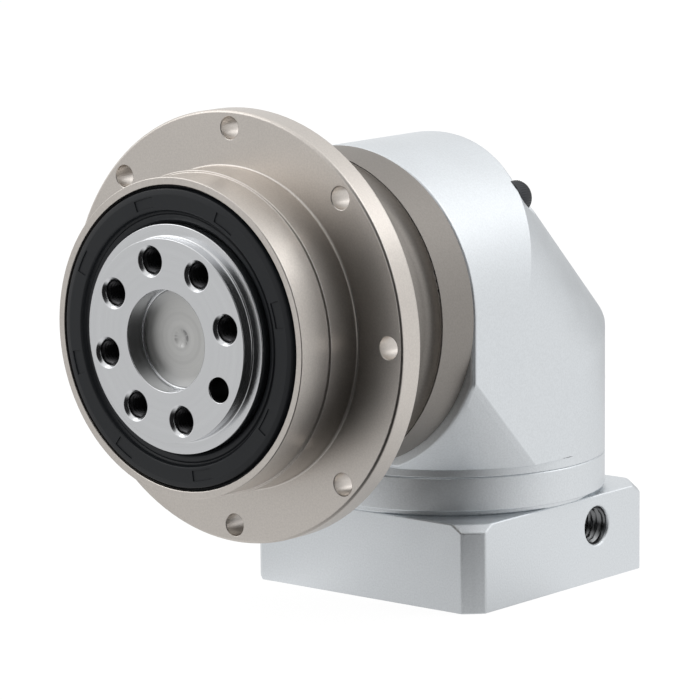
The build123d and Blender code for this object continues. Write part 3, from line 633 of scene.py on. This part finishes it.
FINISHES = (
    Finish(Slot.STEEL, (0.73, 0.74, 0.755), roughness=0.22, lathe_depth=0.0008, tone=0.02,
           roughness_change=0.04),
    # near-black steel for hole walls: painted shade inside the holes, not the steel's own colour
    Finish(Slot.STEEL, (0.10, 0.10, 0.105), roughness=0.4, label=PAINTED_SHADE_HOLE_WALL),
    # nickel: the section behind the flange gets painted shade (tone factor 0.5) and 0.22 more
    # roughness
    Finish(Slot.NICKEL, (0.67, 0.628, 0.585), roughness=0.36, tone=0.02, roughness_change=0.015,
           grain_depth=0.008, grains=4200.0, mottle=0.05, rear=RearPaintedShadeAndRoughness(-62.95, 0.5, 0.22)),
    Finish(Slot.ALUMINIUM, (0.79, 0.82, 0.845), roughness=0.5, grain_depth=0.03, grains=2600.0,
           tone=0.02, mottle=0.035),
    # dark aluminium for cut threads: painted shade inside the holes, not the metal's own colour
    Finish(Slot.ALUMINIUM, (0.2, 0.205, 0.21), roughness=0.3, label=PAINTED_SHADE_CUT_THREAD),
    Finish(Slot.RUBBER, (0.009, 0.011, 0.014), metallic=0.0, roughness=0.46, specular=0.4,
           grain_depth=0.004, grains=5000.0),
    Finish(Slot.BLACK, (0.035, 0.037, 0.042), metallic=0.6, roughness=0.38, grain_depth=0.004),
    Finish(Slot.PLUG, (0.60, 0.60, 0.59), roughness=0.42, lathe_depth=0.006, fineness=4000.0,
           grain_depth=0.012, tone=0.08),
    Finish(Slot.BEARING, (0.74, 0.75, 0.76), roughness=0.14, lathe_depth=0.001),
    Finish(Slot.GEAR, (0.55, 0.55, 0.56), roughness=0.3, grain_depth=0.003),
    Finish(Slot.BRONZE, (0.68, 0.45, 0.2), roughness=0.34, grain_depth=0.004),
)


class Paint:
    """All finishes of the gearbox, made once."""

    def __init__(self, height: float) -> None:
        grain = grain_group()
        lathe = lathe_group(height)
        self.materials = {finish.name(): finish.material(grain, lathe) for finish in FINISHES}

    def coat(self, thing: bpy.types.Object, slot: Slot, label: str = "") -> None:
        """Gives a piece the finish of its slot, or the one with the label.

        Args:
            thing: The piece.
            slot: Its material slot.
            label: Label of the finish, if it isn't the slot's own.
        """
        thing.data.materials.clear()
        thing.data.materials.append(self.materials[label or slot.value])

    def dress(self, thing: bpy.types.Object, slot: Slot, part: Part, node: str = "",
              label: str = "") -> str:
        """Gives a new piece its finish and its body.

        Args:
            thing: The piece.
            slot: Its material slot.
            part: The body that it rides on.
            node: The node that it stands for, if it stands for one.
            label: Label of the finish, if it isn't the slot's own.

        Returns:
            The piece's name.
        """
        self.coat(thing, slot, label)
        if node:
            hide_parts(node)
        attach(thing, part.value)
        return thing.name

    def coat_node(self, node: bpy.types.Object, slot: Slot) -> None:
        """Gives a carried-over node its finish.

        Args:
            node: The node's object.
            slot: Its material slot.
        """
        if not node.data.materials:
            node.data.materials.append(self.materials[slot.value])
        for index in range(len(node.data.materials)):
            node.data.materials[index] = self.materials[slot.value]


@dataclass
class Edged:
    """A node's shape with merged points, rounded edges and smooth curves."""

    node: str
    part: Part
    slot: Slot
    rounding: float
    mitres: tuple[Line, ...] = ()
    turns: tuple[Line, ...] = ()
    plain_radius: float = 0.0
    sharp: float = 25.0
    close: float = 0.02
    facing: float = 0.99
    square: float = 0.9999
    least_radius: float = 3.0

    def weigh(self, edit: bmesh.types.BMesh) -> None:
        """Leaves the edges near the input axis, where pockets cut the bore, out of the rounding.

        Args:
            edit: The mesh, whose other sharp edges get a weight of 1.
        """
        weight = edit.edges.layers.float.new("bevel_weight_edge")
        for edge in edit.edges:
            reach = min(math.hypot(vert.co.x, vert.co.y) for vert in edge.verts) / MM
            turns = edge.calc_face_angle(0.0) > ROUNDED_ANGLE
            edge[weight] = float(turns and reach > self.plain_radius)

    def crease(self, mesh: bpy.types.Mesh) -> None:
        """Marks the edges that lie in a mitre plane as sharp, however little they turn.

        Args:
            mesh: The mesh.
        """
        points = read(mesh.vertices, "co", 3) / MM
        ends = read(mesh.edges, "vertices", 2, int)
        flags = read(mesh.edges, "use_edge_sharp", 1, bool).ravel()
        for origin, normal in self.mitres:
            unit = np.array(normal) / np.linalg.norm(normal)
            near = np.abs((points - np.array(origin)) @ unit) < self.close
            flags |= near[ends].all(axis=1)
        mesh.edges.foreach_set("use_edge_sharp", flags)

    def true_round(self, thing: bpy.types.Object) -> None:
        """Applies the rounding and gives round walls the normals of a true cylinder.

        A face belongs to a turned wall where its corners lie at one radius from the
        axis and its normal is radial. Its corners then get their own radial direction.
        The corners of a face square to the axis get that face's direction.

        Args:
            thing: The object with its modifiers.
        """
        held = thing.evaluated_get(bpy.context.evaluated_depsgraph_get())
        mesh = bpy.data.meshes.new_from_object(held)
        thing.modifiers.clear()
        thing.data = mesh
        corner = read(mesh.loops, "vertex_index", 1, int).ravel()
        points = read(mesh.vertices, "co", 3)[corner] / MM
        counts = read(mesh.polygons, "loop_total", 1, int).ravel()
        normals = read(mesh.corner_normals, "vector", 3)
        starts = np.concatenate([[0], np.cumsum(counts)[:-1]])
        face = np.repeat(np.arange(len(counts)), counts)
        flat = read(mesh.polygons, "normal", 3)[face]
        for origin, direction in self.turns:
            along = np.array(direction) / np.linalg.norm(direction)
            arm = points - np.array(origin)
            arm = arm - (arm @ along)[:, None] * along
            radius = np.linalg.norm(arm, axis=1)
            unit = arm / np.maximum(radius, SMALL)[:, None]
            facing = (unit * flat).sum(axis=1)
            least = np.minimum.reduceat(radius, starts)
            even = np.maximum.reduceat(radius, starts) - least < self.close
            radial = np.minimum.reduceat(np.abs(facing), starts) > self.facing
            chosen = (even & radial & (least > self.least_radius))[face]
            normals[chosen] = (unit * np.sign(facing)[:, None])[chosen]
            level = np.abs(flat @ along) > self.square
            normals[level] = flat[level]
        mesh.normals_split_custom_set(normals.tolist())

    def cleaned(self, frame: dict) -> bpy.types.Mesh:
        """Copies the node's mesh, merges its points and flat faces, and shades it.

        Args:
            frame: The loaded frame.

        Returns:
            The new mesh.
        """
        mesh = frame["nodes"][self.node].data.copy()
        edit = bmesh.new()
        edit.from_mesh(mesh)
        bmesh.ops.remove_doubles(edit, verts=edit.verts, dist=SAME_CORNER)
        bmesh.ops.dissolve_limit(edit, angle_limit=FLAT_ANGLE, use_dissolve_boundaries=False,
                                 verts=edit.verts, edges=edit.edges, delimit=set())
        if self.plain_radius:
            self.weigh(edit)
        edit.to_mesh(mesh)
        edit.free()
        smooth(mesh, self.sharp)
        self.crease(mesh)
        return mesh

    def build(self, frame: dict, paint: Paint) -> str:
        """Rounds the node's edges and lets the result stand for the node.

        Args:
            frame: The loaded frame.
            paint: The finishes.

        Returns:
            The new piece's name.
        """
        name = f"{self.node}_finished"
        mesh = self.cleaned(frame)
        mesh.name = name
        thing = bpy.data.objects.new(name, mesh)
        bpy.context.scene.collection.objects.link(thing)
        bevel = thing.modifiers.new("edges", "BEVEL")
        bevel.width = self.rounding * MM
        bevel.segments = 2
        bevel.limit_method = "WEIGHT" if self.plain_radius else "ANGLE"
        bevel.angle_limit = ROUNDED_ANGLE
        bevel.use_clamp_overlap = False
        bevel.loop_slide = False
        thing.modifiers.new("normals", "WEIGHTED_NORMAL").keep_sharp = True
        if self.turns:
            self.true_round(thing)
        return paint.dress(thing, self.slot, self.part, self.node)


@dataclass
class CapScrew:
    """Socket-head cap screw with a knurled head and a hexagon socket.

    foot, knurled and crown give the head's wall from its seat up: a length that the
    radius is short of the head's, and a distance from the seat or from the top.
    """

    head_radius: float = 3.5
    head_length: float = 4.0
    shank_radius: float = 2.0
    shank_length: float = 30.0
    socket: float = 3.0
    socket_depth: float = 2.0
    knurls: int = 40
    knurl_depth: float = 0.13
    columns: int = 240
    pole: float = 0.001
    tip: float = 0.4
    neck: tuple[float, float] = (0.15, 0.3)
    foot: tuple[tuple[float, float], ...] = ((0.35, 0.0), (0.12, 0.15))
    knurled: tuple[float, float] = (0.45, 0.75)
    crown: tuple[tuple[float, float], ...] = ((0.16, 0.5), (0.3, 0.14), (0.5, 0.0))
    mouth: float = 0.22
    cone: tuple[float, float] = (0.4, 0.25)
    point: float = 0.45

    def shell(self, axis: Axis) -> Shell:
        """Surface of the screw, its head along the axis' forward direction.

        The head's wall is a circle less one minus the absolute cosine of half the
        knurls times the angle, which leaves round-topped ridges. The socket's wall is
        a regular hexagon: apothem over the cosine of the angle from its flat.

        Args:
            axis: Frame with its origin at the head's seat.

        Returns:
            The surface.
        """
        angle = full_turn(self.columns)
        ridge = self.knurl_depth * (1.0 - np.abs(np.cos(angle * self.knurls / 2.0)))
        hexagon = self.socket / 2.0 / np.cos((angle % (TURN / 6.0)) - TURN / 12.0)
        top, edge, shank = self.head_length, self.head_radius, self.shank_radius
        end, bottom = -self.shank_length, top - self.socket_depth
        rows = [(self.pole, end), (shank - self.tip, end), (shank, end + self.tip),
                (shank, -self.neck[1]), (shank + self.neck[0], 0.0)]
        rows += [(edge - short, height) for short, height in self.foot]
        rows += [(edge - ridge, self.knurled[0]), (edge - ridge, top - self.knurled[1])]
        rows += [(edge - short, top - below) for short, below in self.crown]
        rows += [(hexagon + self.mouth, top), (hexagon, top - self.mouth), (hexagon, bottom),
                 (hexagon * self.cone[0], bottom - self.cone[1]), (self.pole, bottom - self.point)]
        radius = np.array([row[0] * np.ones_like(angle) for row in rows])
        forward = np.array([[row[1]] for row in rows])
        return Shell.grid(axis.place(wound(radius, angle, forward)))


@dataclass
class InnerThread:
    """Thread cut in the wall of a hole, as a thin sleeve against the wall."""

    radius: float = 2.5
    pitch: float = 0.8
    depth: float = 0.42
    length: float = 8.4
    columns: int = 40
    rows_per_turn: int = 6
    off_wall: float = 0.02
    skin: float = 0.01
    crest: float = 1.15
    flank: float = 1.3

    def shell(self, axis: Axis) -> Shell:
        """Surface of the thread, its mouth at the frame's origin and its hole behind it.

        Inside, the radius falls from the wall by a triangle wave of the height plus
        the share of a turn. Outside, the sleeve is a plain cylinder just off the wall.

        Args:
            axis: Frame with its forward direction out of the hole.

        Returns:
            The surface.
        """
        angle = full_turn(self.columns)
        rows = int(self.length / self.pitch * self.rows_per_turn) + 1
        forward = np.linspace(0.0, -self.length, rows)[:, None]
        phase = (forward / self.pitch + angle[None, :] / TURN) % 1.0
        wave = np.clip(self.crest - np.abs(phase * 2.0 - 1.0) * self.flank, 0.0, 1.0)
        fade = np.clip(-forward / self.pitch, 0.0, 1.0)
        wall = self.radius - self.off_wall
        cut = self.depth - self.off_wall - self.skin
        inside = wound(wall - self.skin - cut * wave * fade, angle, forward)
        outside = wound(np.full((2, 1), wall), angle, np.array([[-self.length], [0.0]]))
        return Shell.grid(axis.place(np.concatenate([inside, outside, inside[:1]])))


@dataclass
class ShaftSeal:
    """Rubber shaft seal with shallow pads sunk in its face and a dust lip."""

    outer: float = 29.99
    journal: float = 22.53
    width: float = 7.9
    band: tuple[float, float] = (25.8, 27.9)
    pads: tuple[tuple[float, float], ...] = (
        (9.9, 21.0), (56.0, 67.0), (101.8, 112.0), (146.6, 156.7),
        (190.5, 200.5), (234.0, 244.0), (278.0, 288.5), (323.5, 334.5),
    )
    sink: float = 0.22
    slope: float = 0.04
    even_columns: int = 240
    end_columns: tuple[float, ...] = (-6.0, -1.0, 0.0, 1.0, 6.0)

    def angles(self) -> np.ndarray:
        """Columns of the face: an even turn, with more columns at the pads' ends.

        Returns:
            Rising angles in degrees.
        """
        ends = np.array(self.pads).ravel()
        middle = sum(self.band) / 2.0
        near = np.array(self.end_columns) * math.degrees(self.slope / middle)
        even = np.linspace(0.0, 360.0, self.even_columns, endpoint=False)
        added = (ends[:, None] + near).ravel() % 360.0
        return np.unique(np.round(np.concatenate([even, added]), 3))

    def profile(self) -> np.ndarray:
        """Section from the outer wall's rear to the lip's rear, forward from the seal's front.

        The flat face gets close rows at both edges of the band that holds the pads.

        Returns:
            Array of (radius, forward).
        """
        low, high = self.band
        face = [(edge + offset * self.slope, 0.0)
                for edge in (high, low) for offset in (1.0, 0.0, -1.0)]
        outer = rounded([
            (self.outer, -self.width, 0), (self.outer, -1.7, 0.1), (29.45, -1.5, 0.15),
            (29.25, -0.25, 0.2), (high + 0.25, 0.0, 0.06), (high + 0.12, 0.0, 0.0),
        ])
        inner = rounded([
            (low - 0.2, 0.0, 0.0), (25.15, 0.0, 0.3), (24.85, -0.9, 0.25),
            (24.45, -1.15, 0.15), (24.1, -0.75, 0.2), (23.2, -0.95, 0.2), (22.75, -1.5, 0.2),
            (self.journal, -1.75, 0.08), (self.journal, -3.6, 0.1), (23.4, -4.6, 0.3),
            (24.2, -self.width, 0.0),
        ])
        rows = np.concatenate([outer, face, inner])
        apart = np.linalg.norm(np.diff(rows, axis=0), axis=1) > SMALL
        return rows[np.concatenate([[True], apart])]

    def relief(self, rows: np.ndarray, degrees: np.ndarray) -> np.ndarray:
        """Depth of the pads.

        It comes from the distance to a pad's border, which is positive inside: the
        smaller of the distances to its arcs and to its ends. A pad sinks by a steep
        step just inside the border.

        Args:
            rows: Profile points.
            degrees: Column angles in degrees.

        Returns:
            Array of rows and columns.
        """
        low, high = self.band
        radius = rows[:, :1]
        across = np.minimum(radius - low, high - radius)
        total = np.zeros((len(rows), len(degrees)))
        for first, last in self.pads:
            apart = np.abs((degrees - (first + last) / 2.0 + 180.0) % 360.0 - 180.0)
            along = np.radians((last - first) / 2.0 - apart)[None, :] * radius
            inside = np.minimum(across, along)
            total = total - np.clip(inside / self.slope, 0.0, 1.0) * self.sink
        return total

    def shell(self, axis: Axis) -> Shell:
        """Surface of the seal: the section is turned, and its face gets the pads.

        Args:
            axis: Frame with its origin at the seal's front.

        Returns:
            The surface, closed by a flat rear.
        """
        rows = self.profile()
        degrees = self.angles()
        angle = np.radians(degrees)
        face = turned(rows, axis, angle, self.relief(rows, degrees))
        rear = turned(np.array([rows[-1], rows[0]]), axis, angle)
        return Shell.joined([face, rear])


@dataclass
class FootFillet:
    """Small hollow fillet where a turned step meets the face behind it."""

    radius: float
    foot: float
    size: float = 0.4
    sunk: float = 0.05
    steps: int = 7
    columns: int = 180

    def shell(self, axis: Axis) -> Shell:
        """Surface of the fillet: a quarter circle turned round the axis, closed behind.

        The circle's centre lies the fillet's size outside the step and in front of the face.

        Args:
            axis: Frame of the step.

        Returns:
            The surface.
        """
        turn = np.linspace(0.0, math.pi / 2.0, self.steps)
        arc = np.stack([self.radius + self.size * (1.0 - np.cos(turn)),
                        self.foot + self.size * (1.0 - np.sin(turn))], axis=-1)
        back = np.array([(arc[-1, 0], self.foot - self.sunk),
                         (self.radius - self.sunk, self.foot - self.sunk),
                         (self.radius - self.sunk, arc[0, 1])])
        return turned(np.concatenate([arc, back, arc[:1]]), axis, full_turn(self.columns))


@dataclass(frozen=True)
class Lobe:
    """Lighter or darker part of the room: direction, limits in degrees and strength."""

    towards: Triple
    outer: float
    inner: float
    strength: float


@dataclass(frozen=True)
class Lamp:
    """Square soft lamp: name, place and side in metres, and power in watts."""

    name: str
    place: Triple
    side: float
    power: float


@dataclass
class Studio:
    """White room, soft lamps and the camera of the photograph.

    Turns are degrees. The camera's clip and the lamps' aim are metres.
    """

    azimuth: float = 39.636
    elevation: float = 9.683
    roll: float = -0.497
    target: Triple = (-26.955, 0.0, 44.6)
    distance: float = 920.86
    focal_pixels: float = 4322.0
    image_pixels: float = 700.0
    sensor: float = 36.0
    clip: tuple[float, float] = (0.01, 50.0)
    base: float = 0.9
    least: float = 0.01
    even: float = 0.56
    lobes: tuple[Lobe, ...] = (
        Lobe((0.58, -0.78, 0.30), 50.0, 28.0, -0.90),
        Lobe((0.3, 0.3, 1.0), 60.0, 20.0, 0.12),
        Lobe((0.75, -0.6, -0.35), 45.0, 20.0, -0.28),
        Lobe((-0.12, 1.0, 0.18), 34.0, 8.0, -0.40),
        Lobe((-0.55, -0.74, -0.40), 48.0, 16.0, -0.24),
    )
    lamps: tuple[Lamp, ...] = (
        Lamp("key", (0.8, 0.7, 1.2), 1.0, 4.0),
        Lamp("fill", (-1.0, -0.7, 1.0), 1.0, 3.6),
    )
    aim: Triple = (0.0, -0.03, 0.05)
    floor_reach: float = 3000.0
    floor_drop: float = 0.05
    floor_pale: float = 0.8
    floor_faint: float = 0.16
    floor_glow: float = 0.93

    def camera(self) -> None:
        """Places the camera on its circle round the target and rolls it."""
        turn, rise, roll = (math.radians(a) for a in (self.azimuth, self.elevation, self.roll))
        back = Vector((math.sin(turn) * math.cos(rise), -math.cos(turn) * math.cos(rise),
                       math.sin(rise)))
        level = Vector((math.cos(turn), math.sin(turn), 0.0))
        above = back.cross(level)
        right = level * math.cos(roll) + above * math.sin(roll)
        up = above * math.cos(roll) - level * math.sin(roll)
        place = (Vector(self.target) + back * self.distance) * MM
        data = bpy.data.cameras.new("camera")
        data.sensor_width = self.sensor
        data.lens = self.focal_pixels / self.image_pixels * self.sensor
        data.clip_start, data.clip_end = self.clip
        camera = bpy.data.objects.new("camera", data)
        camera.matrix_world = Matrix((right, up, back)).transposed().to_4x4()
        camera.location = place
        bpy.context.scene.collection.objects.link(camera)
        bpy.context.scene.camera = camera

    def level(self, nodes: Nodes, direction: bpy.types.NodeSocket) -> bpy.types.NodeSocket:
        """Light that polished metal meets from a direction.

        The level is a base plus lobes. Each lobe is the cosine between the two
        directions, mapped smoothly between two limits and times its strength.

        Args:
            nodes: Builder of the tree that uses the level.
            direction: Socket with the direction as a unit vector.

        Returns:
            Socket with the level.
        """
        total: object = self.base
        for lobe in self.lobes:
            dot = nodes.add("ShaderNodeVectorMath", operation="DOT_PRODUCT")
            nodes.link(direction, dot.inputs[0])
            dot.inputs[1].default_value = Vector(lobe.towards).normalized()
            step = nodes.add("ShaderNodeMapRange", interpolation_type="SMOOTHSTEP")
            nodes.link(dot.outputs["Value"], step.inputs["Value"])
            step.inputs["From Min"].default_value = math.cos(math.radians(lobe.outer))
            step.inputs["From Max"].default_value = math.cos(math.radians(lobe.inner))
            step.inputs["To Max"].default_value = lobe.strength
            total = nodes.maths("ADD", total, step.outputs[0])
        return nodes.maths("MAXIMUM", total, self.least)

    def room(self) -> None:
        """White to the camera, white with a dark front to polished metal, even to the rest."""
        world = bpy.data.worlds.new("studio")
        bpy.context.scene.world = world
        world.use_nodes = True
        nodes = Nodes(world.node_tree)
        white, even, graded = (nodes.add("ShaderNodeBackground") for _ in range(3))
        white.inputs["Strength"].default_value = 1.0
        even.inputs["Strength"].default_value = self.even
        for light in (white, even, graded):
            light.inputs["Color"].default_value = WHITE
        direction = nodes.add("ShaderNodeTexCoord").outputs["Generated"]
        nodes.link(self.level(nodes, direction), graded.inputs["Strength"])
        light = nodes.by_ray(white.outputs[0], graded.outputs[0], even.outputs[0])
        nodes.link(light, nodes.add("ShaderNodeOutputWorld").inputs["Surface"])

    def floor_material(self) -> bpy.types.Material:
        """Near white with a faint shadow to the camera, and pale to the rest.

        Polished metal meets in it the light that the room has in the same direction.

        Returns:
            The material.
        """
        material = bpy.data.materials.new("floor")
        material.use_nodes = True
        nodes = Nodes(material.node_tree)
        pale, faint = nodes.add("ShaderNodeBsdfDiffuse"), nodes.add("ShaderNodeBsdfDiffuse")
        for matt, tone in ((pale, self.floor_pale), (faint, self.floor_faint)):
            matt.inputs["Color"].default_value = (tone, tone, tone, 1.0)
        white, graded = nodes.add("ShaderNodeEmission"), nodes.add("ShaderNodeEmission")
        white.inputs["Strength"].default_value = self.floor_glow
        place = nodes.add("ShaderNodeVectorMath", operation="SUBTRACT")
        nodes.link(nodes.place(), place.inputs[0])
        place.inputs[1].default_value = [value * MM for value in self.target]
        unit = nodes.add("ShaderNodeVectorMath", operation="NORMALIZE")
        nodes.link(place.outputs[0], unit.inputs[0])
        nodes.link(self.level(nodes, unit.outputs[0]), graded.inputs["Strength"])
        both = nodes.add("ShaderNodeAddShader")
        nodes.link(faint.outputs[0], both.inputs[0])
        nodes.link(white.outputs[0], both.inputs[1])
        cover = nodes.by_ray(both.outputs[0], graded.outputs[0], pale.outputs[0])
        nodes.link(cover, nodes.add("ShaderNodeOutputMaterial").inputs["Surface"])
        return material

    def floor(self) -> None:
        """Pale floor just under the motor plate."""
        reach, drop = self.floor_reach, -self.floor_drop
        corners = np.array([[[-reach, -reach, drop], [reach, -reach, drop]],
                            [[-reach, reach, drop], [reach, reach, drop]]])
        floor = Shell.grid(corners, wrap=False).piece("floor")
        floor.data.materials.append(self.floor_material())

    def lights(self) -> None:
        """Large soft lamps: one high at the right rear, one high at the left front."""
        for lamp in self.lamps:
            data = bpy.data.lights.new(lamp.name, "AREA")
            data.size = lamp.side
            data.energy = lamp.power
            light = bpy.data.objects.new(lamp.name, data)
            light.location = lamp.place
            towards = Vector(self.aim) - Vector(lamp.place)
            light.rotation_euler = towards.to_track_quat("-Z", "Y").to_euler()
            bpy.context.scene.collection.objects.link(light)

    def build(self) -> None:
        """Makes the whole studio."""
        self.camera()
        self.room()
        self.floor()
        self.lights()
        bpy.context.scene.view_settings.view_transform = "Standard"


@dataclass
class OutputSide:
    """Output flange, plug, seal and output housing."""

    height: float
    face: float = 88.3
    hole_circle: float = 15.75
    first_hole: float = 103.8
    holes: int = 8
    dowel: int = 3
    hole_length: float = 8.3
    thread_depth: float = 0.42
    dowel_depth: float = 0.05
    sink: float = 0.65
    seal_front: float = 85.3
    pilot: tuple[float, float] = (32.0, 68.8)
    spigot: tuple[float, float] = (20.0, 85.8)

    def axis(self) -> Axis:
        """Frame of the output axis, forward out of the output face."""
        return Axis((0.0, 0.0, self.height), RIGHT, UP, FRONT)

    def seal(self, paint: Paint) -> str:
        """The shaft seal with its pads and lip.

        Args:
            paint: The finishes.

        Returns:
            The piece's name.
        """
        front = self.axis().moved(0.0, 0.0, self.seal_front)
        seal = ShaftSeal().shell(front).piece("output_seal_detail")
        return paint.dress(seal, Slot.RUBBER, Part.HOUSING, "output_seal")

    def threads(self, paint: Paint) -> list[str]:
        """Walls of the holes in the output face: threads, and a plain one in the dowel hole, all
        in a near-black steel finish that is painted shade of the deep holes.

        Args:
            paint: The finishes.

        Returns:
            The pieces' names.
        """
        made = []
        for index in range(self.holes):
            turn = math.radians(self.first_hole - 360.0 / self.holes * index)
            mouth = self.axis().around(self.hole_circle, turn, self.face - self.sink)
            depth = self.dowel_depth if index == self.dowel else self.thread_depth
            wall = InnerThread(length=self.hole_length, depth=depth).shell(mouth)
            piece = wall.piece(f"output_hole_wall_{index + 1}")
            # the hole walls are near black as painted shade of the deep holes
            made.append(paint.dress(piece, Slot.STEEL, Part.OUTPUT, label=PAINTED_SHADE_HOLE_WALL))
        return made

    def fillets(self, paint: Paint) -> list[str]:
        """Fillets at the foot of the housing's pilot and of the output spigot.

        Args:
            paint: The finishes.

        Returns:
            The pieces' names.
        """
        pilot = FootFillet(*self.pilot).shell(self.axis()).piece("pilot_foot", FILLET_SHARP)
        spigot = FootFillet(*self.spigot).shell(self.axis()).piece("spigot_foot", FILLET_SHARP)
        return [paint.dress(pilot, Slot.NICKEL, Part.HOUSING),
                paint.dress(spigot, Slot.STEEL, Part.OUTPUT)]

    def build(self, frame: dict, paint: Paint) -> None:
        """Builds and dresses the output side.

        Args:
            frame: The loaded frame.
            paint: The finishes.
        """
        made = [self.seal(paint), *self.threads(paint), *self.fillets(paint)]
        turns = ((self.axis().origin, self.axis().forward),)
        for edged in (
                Edged("output_carrier", Part.OUTPUT, Slot.STEEL, rounding=0.12, turns=turns),
                Edged("end_plug", Part.OUTPUT, Slot.PLUG, rounding=0.2),
                Edged("output_housing", Part.HOUSING, Slot.NICKEL, rounding=0.15, turns=turns)):
            made.append(edged.build(frame, paint))
        LOG.info("output side: %s", made)


@dataclass
class AngleSide:
    """Angle housing with its clamping screws, input ring and motor plate.

    Each seat is a screw's turn in degrees and how far its head stands in.
    """

    height: float
    screw_circle: float = 28.8
    seats: tuple[tuple[float, float], ...] = ((45, 6.3), (135, 6.3), (225, -19.0), (315, -19.0))
    front: float = 33.2
    grip: float = 8.0
    tip_gap: float = 1.0
    plate_circle: float = 21.3
    plate_seat: float = 7.2
    plate_shank: float = 24.4
    access: Triple = (30.0, 11.4, 11.8)
    access_radius: float = 4.0
    access_pitch: float = 1.25
    access_depth: float = 0.62
    access_length: float = 6.0
    access_columns: int = 48
    clamp_seat: float = 3.0
    clamp_length: float = 10.0
    motor_circle: float = 35.0
    motor_length: float = 11.5
    mouth: float = 0.6
    elbow: float = 16.5
    bend: float = math.radians(22.5)

    def below(self) -> Axis:
        """Frame of the motor's face, forward down."""
        return Axis((0.0, 0.0, 0.0), BACK, RIGHT, DOWN)

    def screws(self, paint: Paint) -> str:
        """The four screws behind the angle housing, heads to the rear.

        Args:
            paint: The finishes.

        Returns:
            The piece's name.
        """
        base = Axis((0.0, 0.0, self.height), LEFT, UP, BACK)
        shells = []
        for angle, seat in self.seats:
            turn = math.radians(angle)
            axis = base.moved(-self.screw_circle * math.cos(turn),
                              self.screw_circle * math.sin(turn), -seat)
            length = self.front + self.grip - self.tip_gap - seat
            shells.append(CapScrew(shank_length=length).shell(axis))
        screws = Shell.joined(shells).piece("housing_screws_knurled", KNURL_SHARP)
        return paint.dress(screws, Slot.BLACK, Part.HOUSING, "housing_screws")

    def plate_screws(self, paint: Paint) -> str:
        """The four screws that hold the motor plate, heads down.

        Args:
            paint: The finishes.

        Returns:
            The piece's name.
        """
        screw = CapScrew(shank_length=self.plate_shank)
        shells = [screw.shell(self.below().around(self.plate_circle, turn, -self.plate_seat))
                  for turn in full_turn(4)]
        screws = Shell.joined(shells).piece("plate_screws_knurled", KNURL_SHARP)
        return paint.dress(screws, Slot.BLACK, Part.HOUSING, "plate_screws")

    def clamp_screw(self, paint: Paint) -> str:
        """The screw behind the access hole, which closes the clamp hub on the motor's shaft.

        Args:
            paint: The finishes.

        Returns:
            The piece's name.
        """
        axis = Axis((self.clamp_seat, *self.access[1:]), BACK, UP, RIGHT)
        shell = CapScrew(shank_length=self.clamp_length).shell(axis)
        screw = shell.piece("clamp_screw_knurled", KNURL_SHARP)
        return paint.dress(screw, Slot.BLACK, Part.INPUT, "clamp_screw")

    def threads(self, paint: Paint) -> list[str]:
        """Threads of the access hole and of the four holes for the motor's screws, in a dark
        aluminium finish that is painted shade of the holes.

        Args:
            paint: The finishes.

        Returns:
            The pieces' names.
        """
        side = Axis(self.access, BACK, UP, RIGHT).moved(0.0, 0.0, -self.mouth)
        wide = InnerThread(self.access_radius, self.access_pitch, self.access_depth,
                           self.access_length, self.access_columns)
        pieces = [wide.shell(side).piece("access_thread")]
        for index, turn in enumerate(full_turn(4) + TURN / 8.0):
            axis = self.below().around(self.motor_circle, turn, -self.mouth)
            thread = InnerThread(length=self.motor_length - self.mouth).shell(axis)
            pieces.append(thread.piece(f"motor_thread_{index + 1}"))
        # dark finish: painted shade inside the threaded holes
        return [paint.dress(piece, Slot.ALUMINIUM, Part.HOUSING, label=PAINTED_SHADE_CUT_THREAD)
                for piece in pieces]

    def mitres(self) -> tuple[Line, ...]:
        """Planes where the housing's three round lengths meet.

        Returns:
            A point and a normal of each.
        """
        across, along = math.sin(self.bend), math.cos(self.bend)
        return (((0.0, -self.elbow, self.height), (0.0, along, -across)),
                ((0.0, 0.0, self.height - self.elbow), (0.0, -across, along)))

    def build(self, frame: dict, paint: Paint) -> None:
        """Builds and dresses the angle side.

        Args:
            frame: The loaded frame.
            paint: The finishes.
        """
        made = [self.screws(paint), self.plate_screws(paint), self.clamp_screw(paint),
                *self.threads(paint)]
        output = ((0.0, 0.0, self.height), BACK)
        slope = ((0.0, -self.elbow, self.height), (0.0, 1.0, -1.0))
        upright = ((0.0, 0.0, 0.0), UP)
        for edged in (
                Edged("angle_housing", Part.HOUSING, Slot.ALUMINIUM, rounding=0.2,
                      mitres=self.mitres(), turns=(output, slope, upright)),
                Edged("input_ring", Part.HOUSING, Slot.ALUMINIUM, rounding=0.3, turns=(upright,)),
                Edged("motor_plate", Part.HOUSING, Slot.ALUMINIUM, rounding=0.25, turns=(upright,),
                      plain_radius=27.0)):
            made.append(edged.build(frame, paint))
        LOG.info("angle side: %s", made)


def dress_the_rest(frame: dict, paint: Paint) -> None:
    """Gives every carried-over node the finish of its slot.

    Args:
        frame: The loaded frame.
        paint: The finishes.
    """
    slots = {entry["node"]: Slot(entry["material_slot"]) for entry in frame["record"]["subparts"]}
    slots["screw_washers"] = Slot.BLACK
    for name, node in frame["nodes"].items():
        if not node.hide_render:
            paint.coat_node(node, slots[name])


def main() -> None:
    """Builds the studio and the gearbox."""
    logging.basicConfig(level=logging.INFO)
    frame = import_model()
    low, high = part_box("output_carrier")
    height = (low.z + high.z) / 2.0
    LOG.info("output axis at %.3f mm", height / MM)
    paint = Paint(height)
    Studio().build()
    OutputSide(height / MM).build(frame, paint)
    AngleSide(height / MM).build(frame, paint)
    dress_the_rest(frame, paint)


if __name__ == "__main__":
    main()
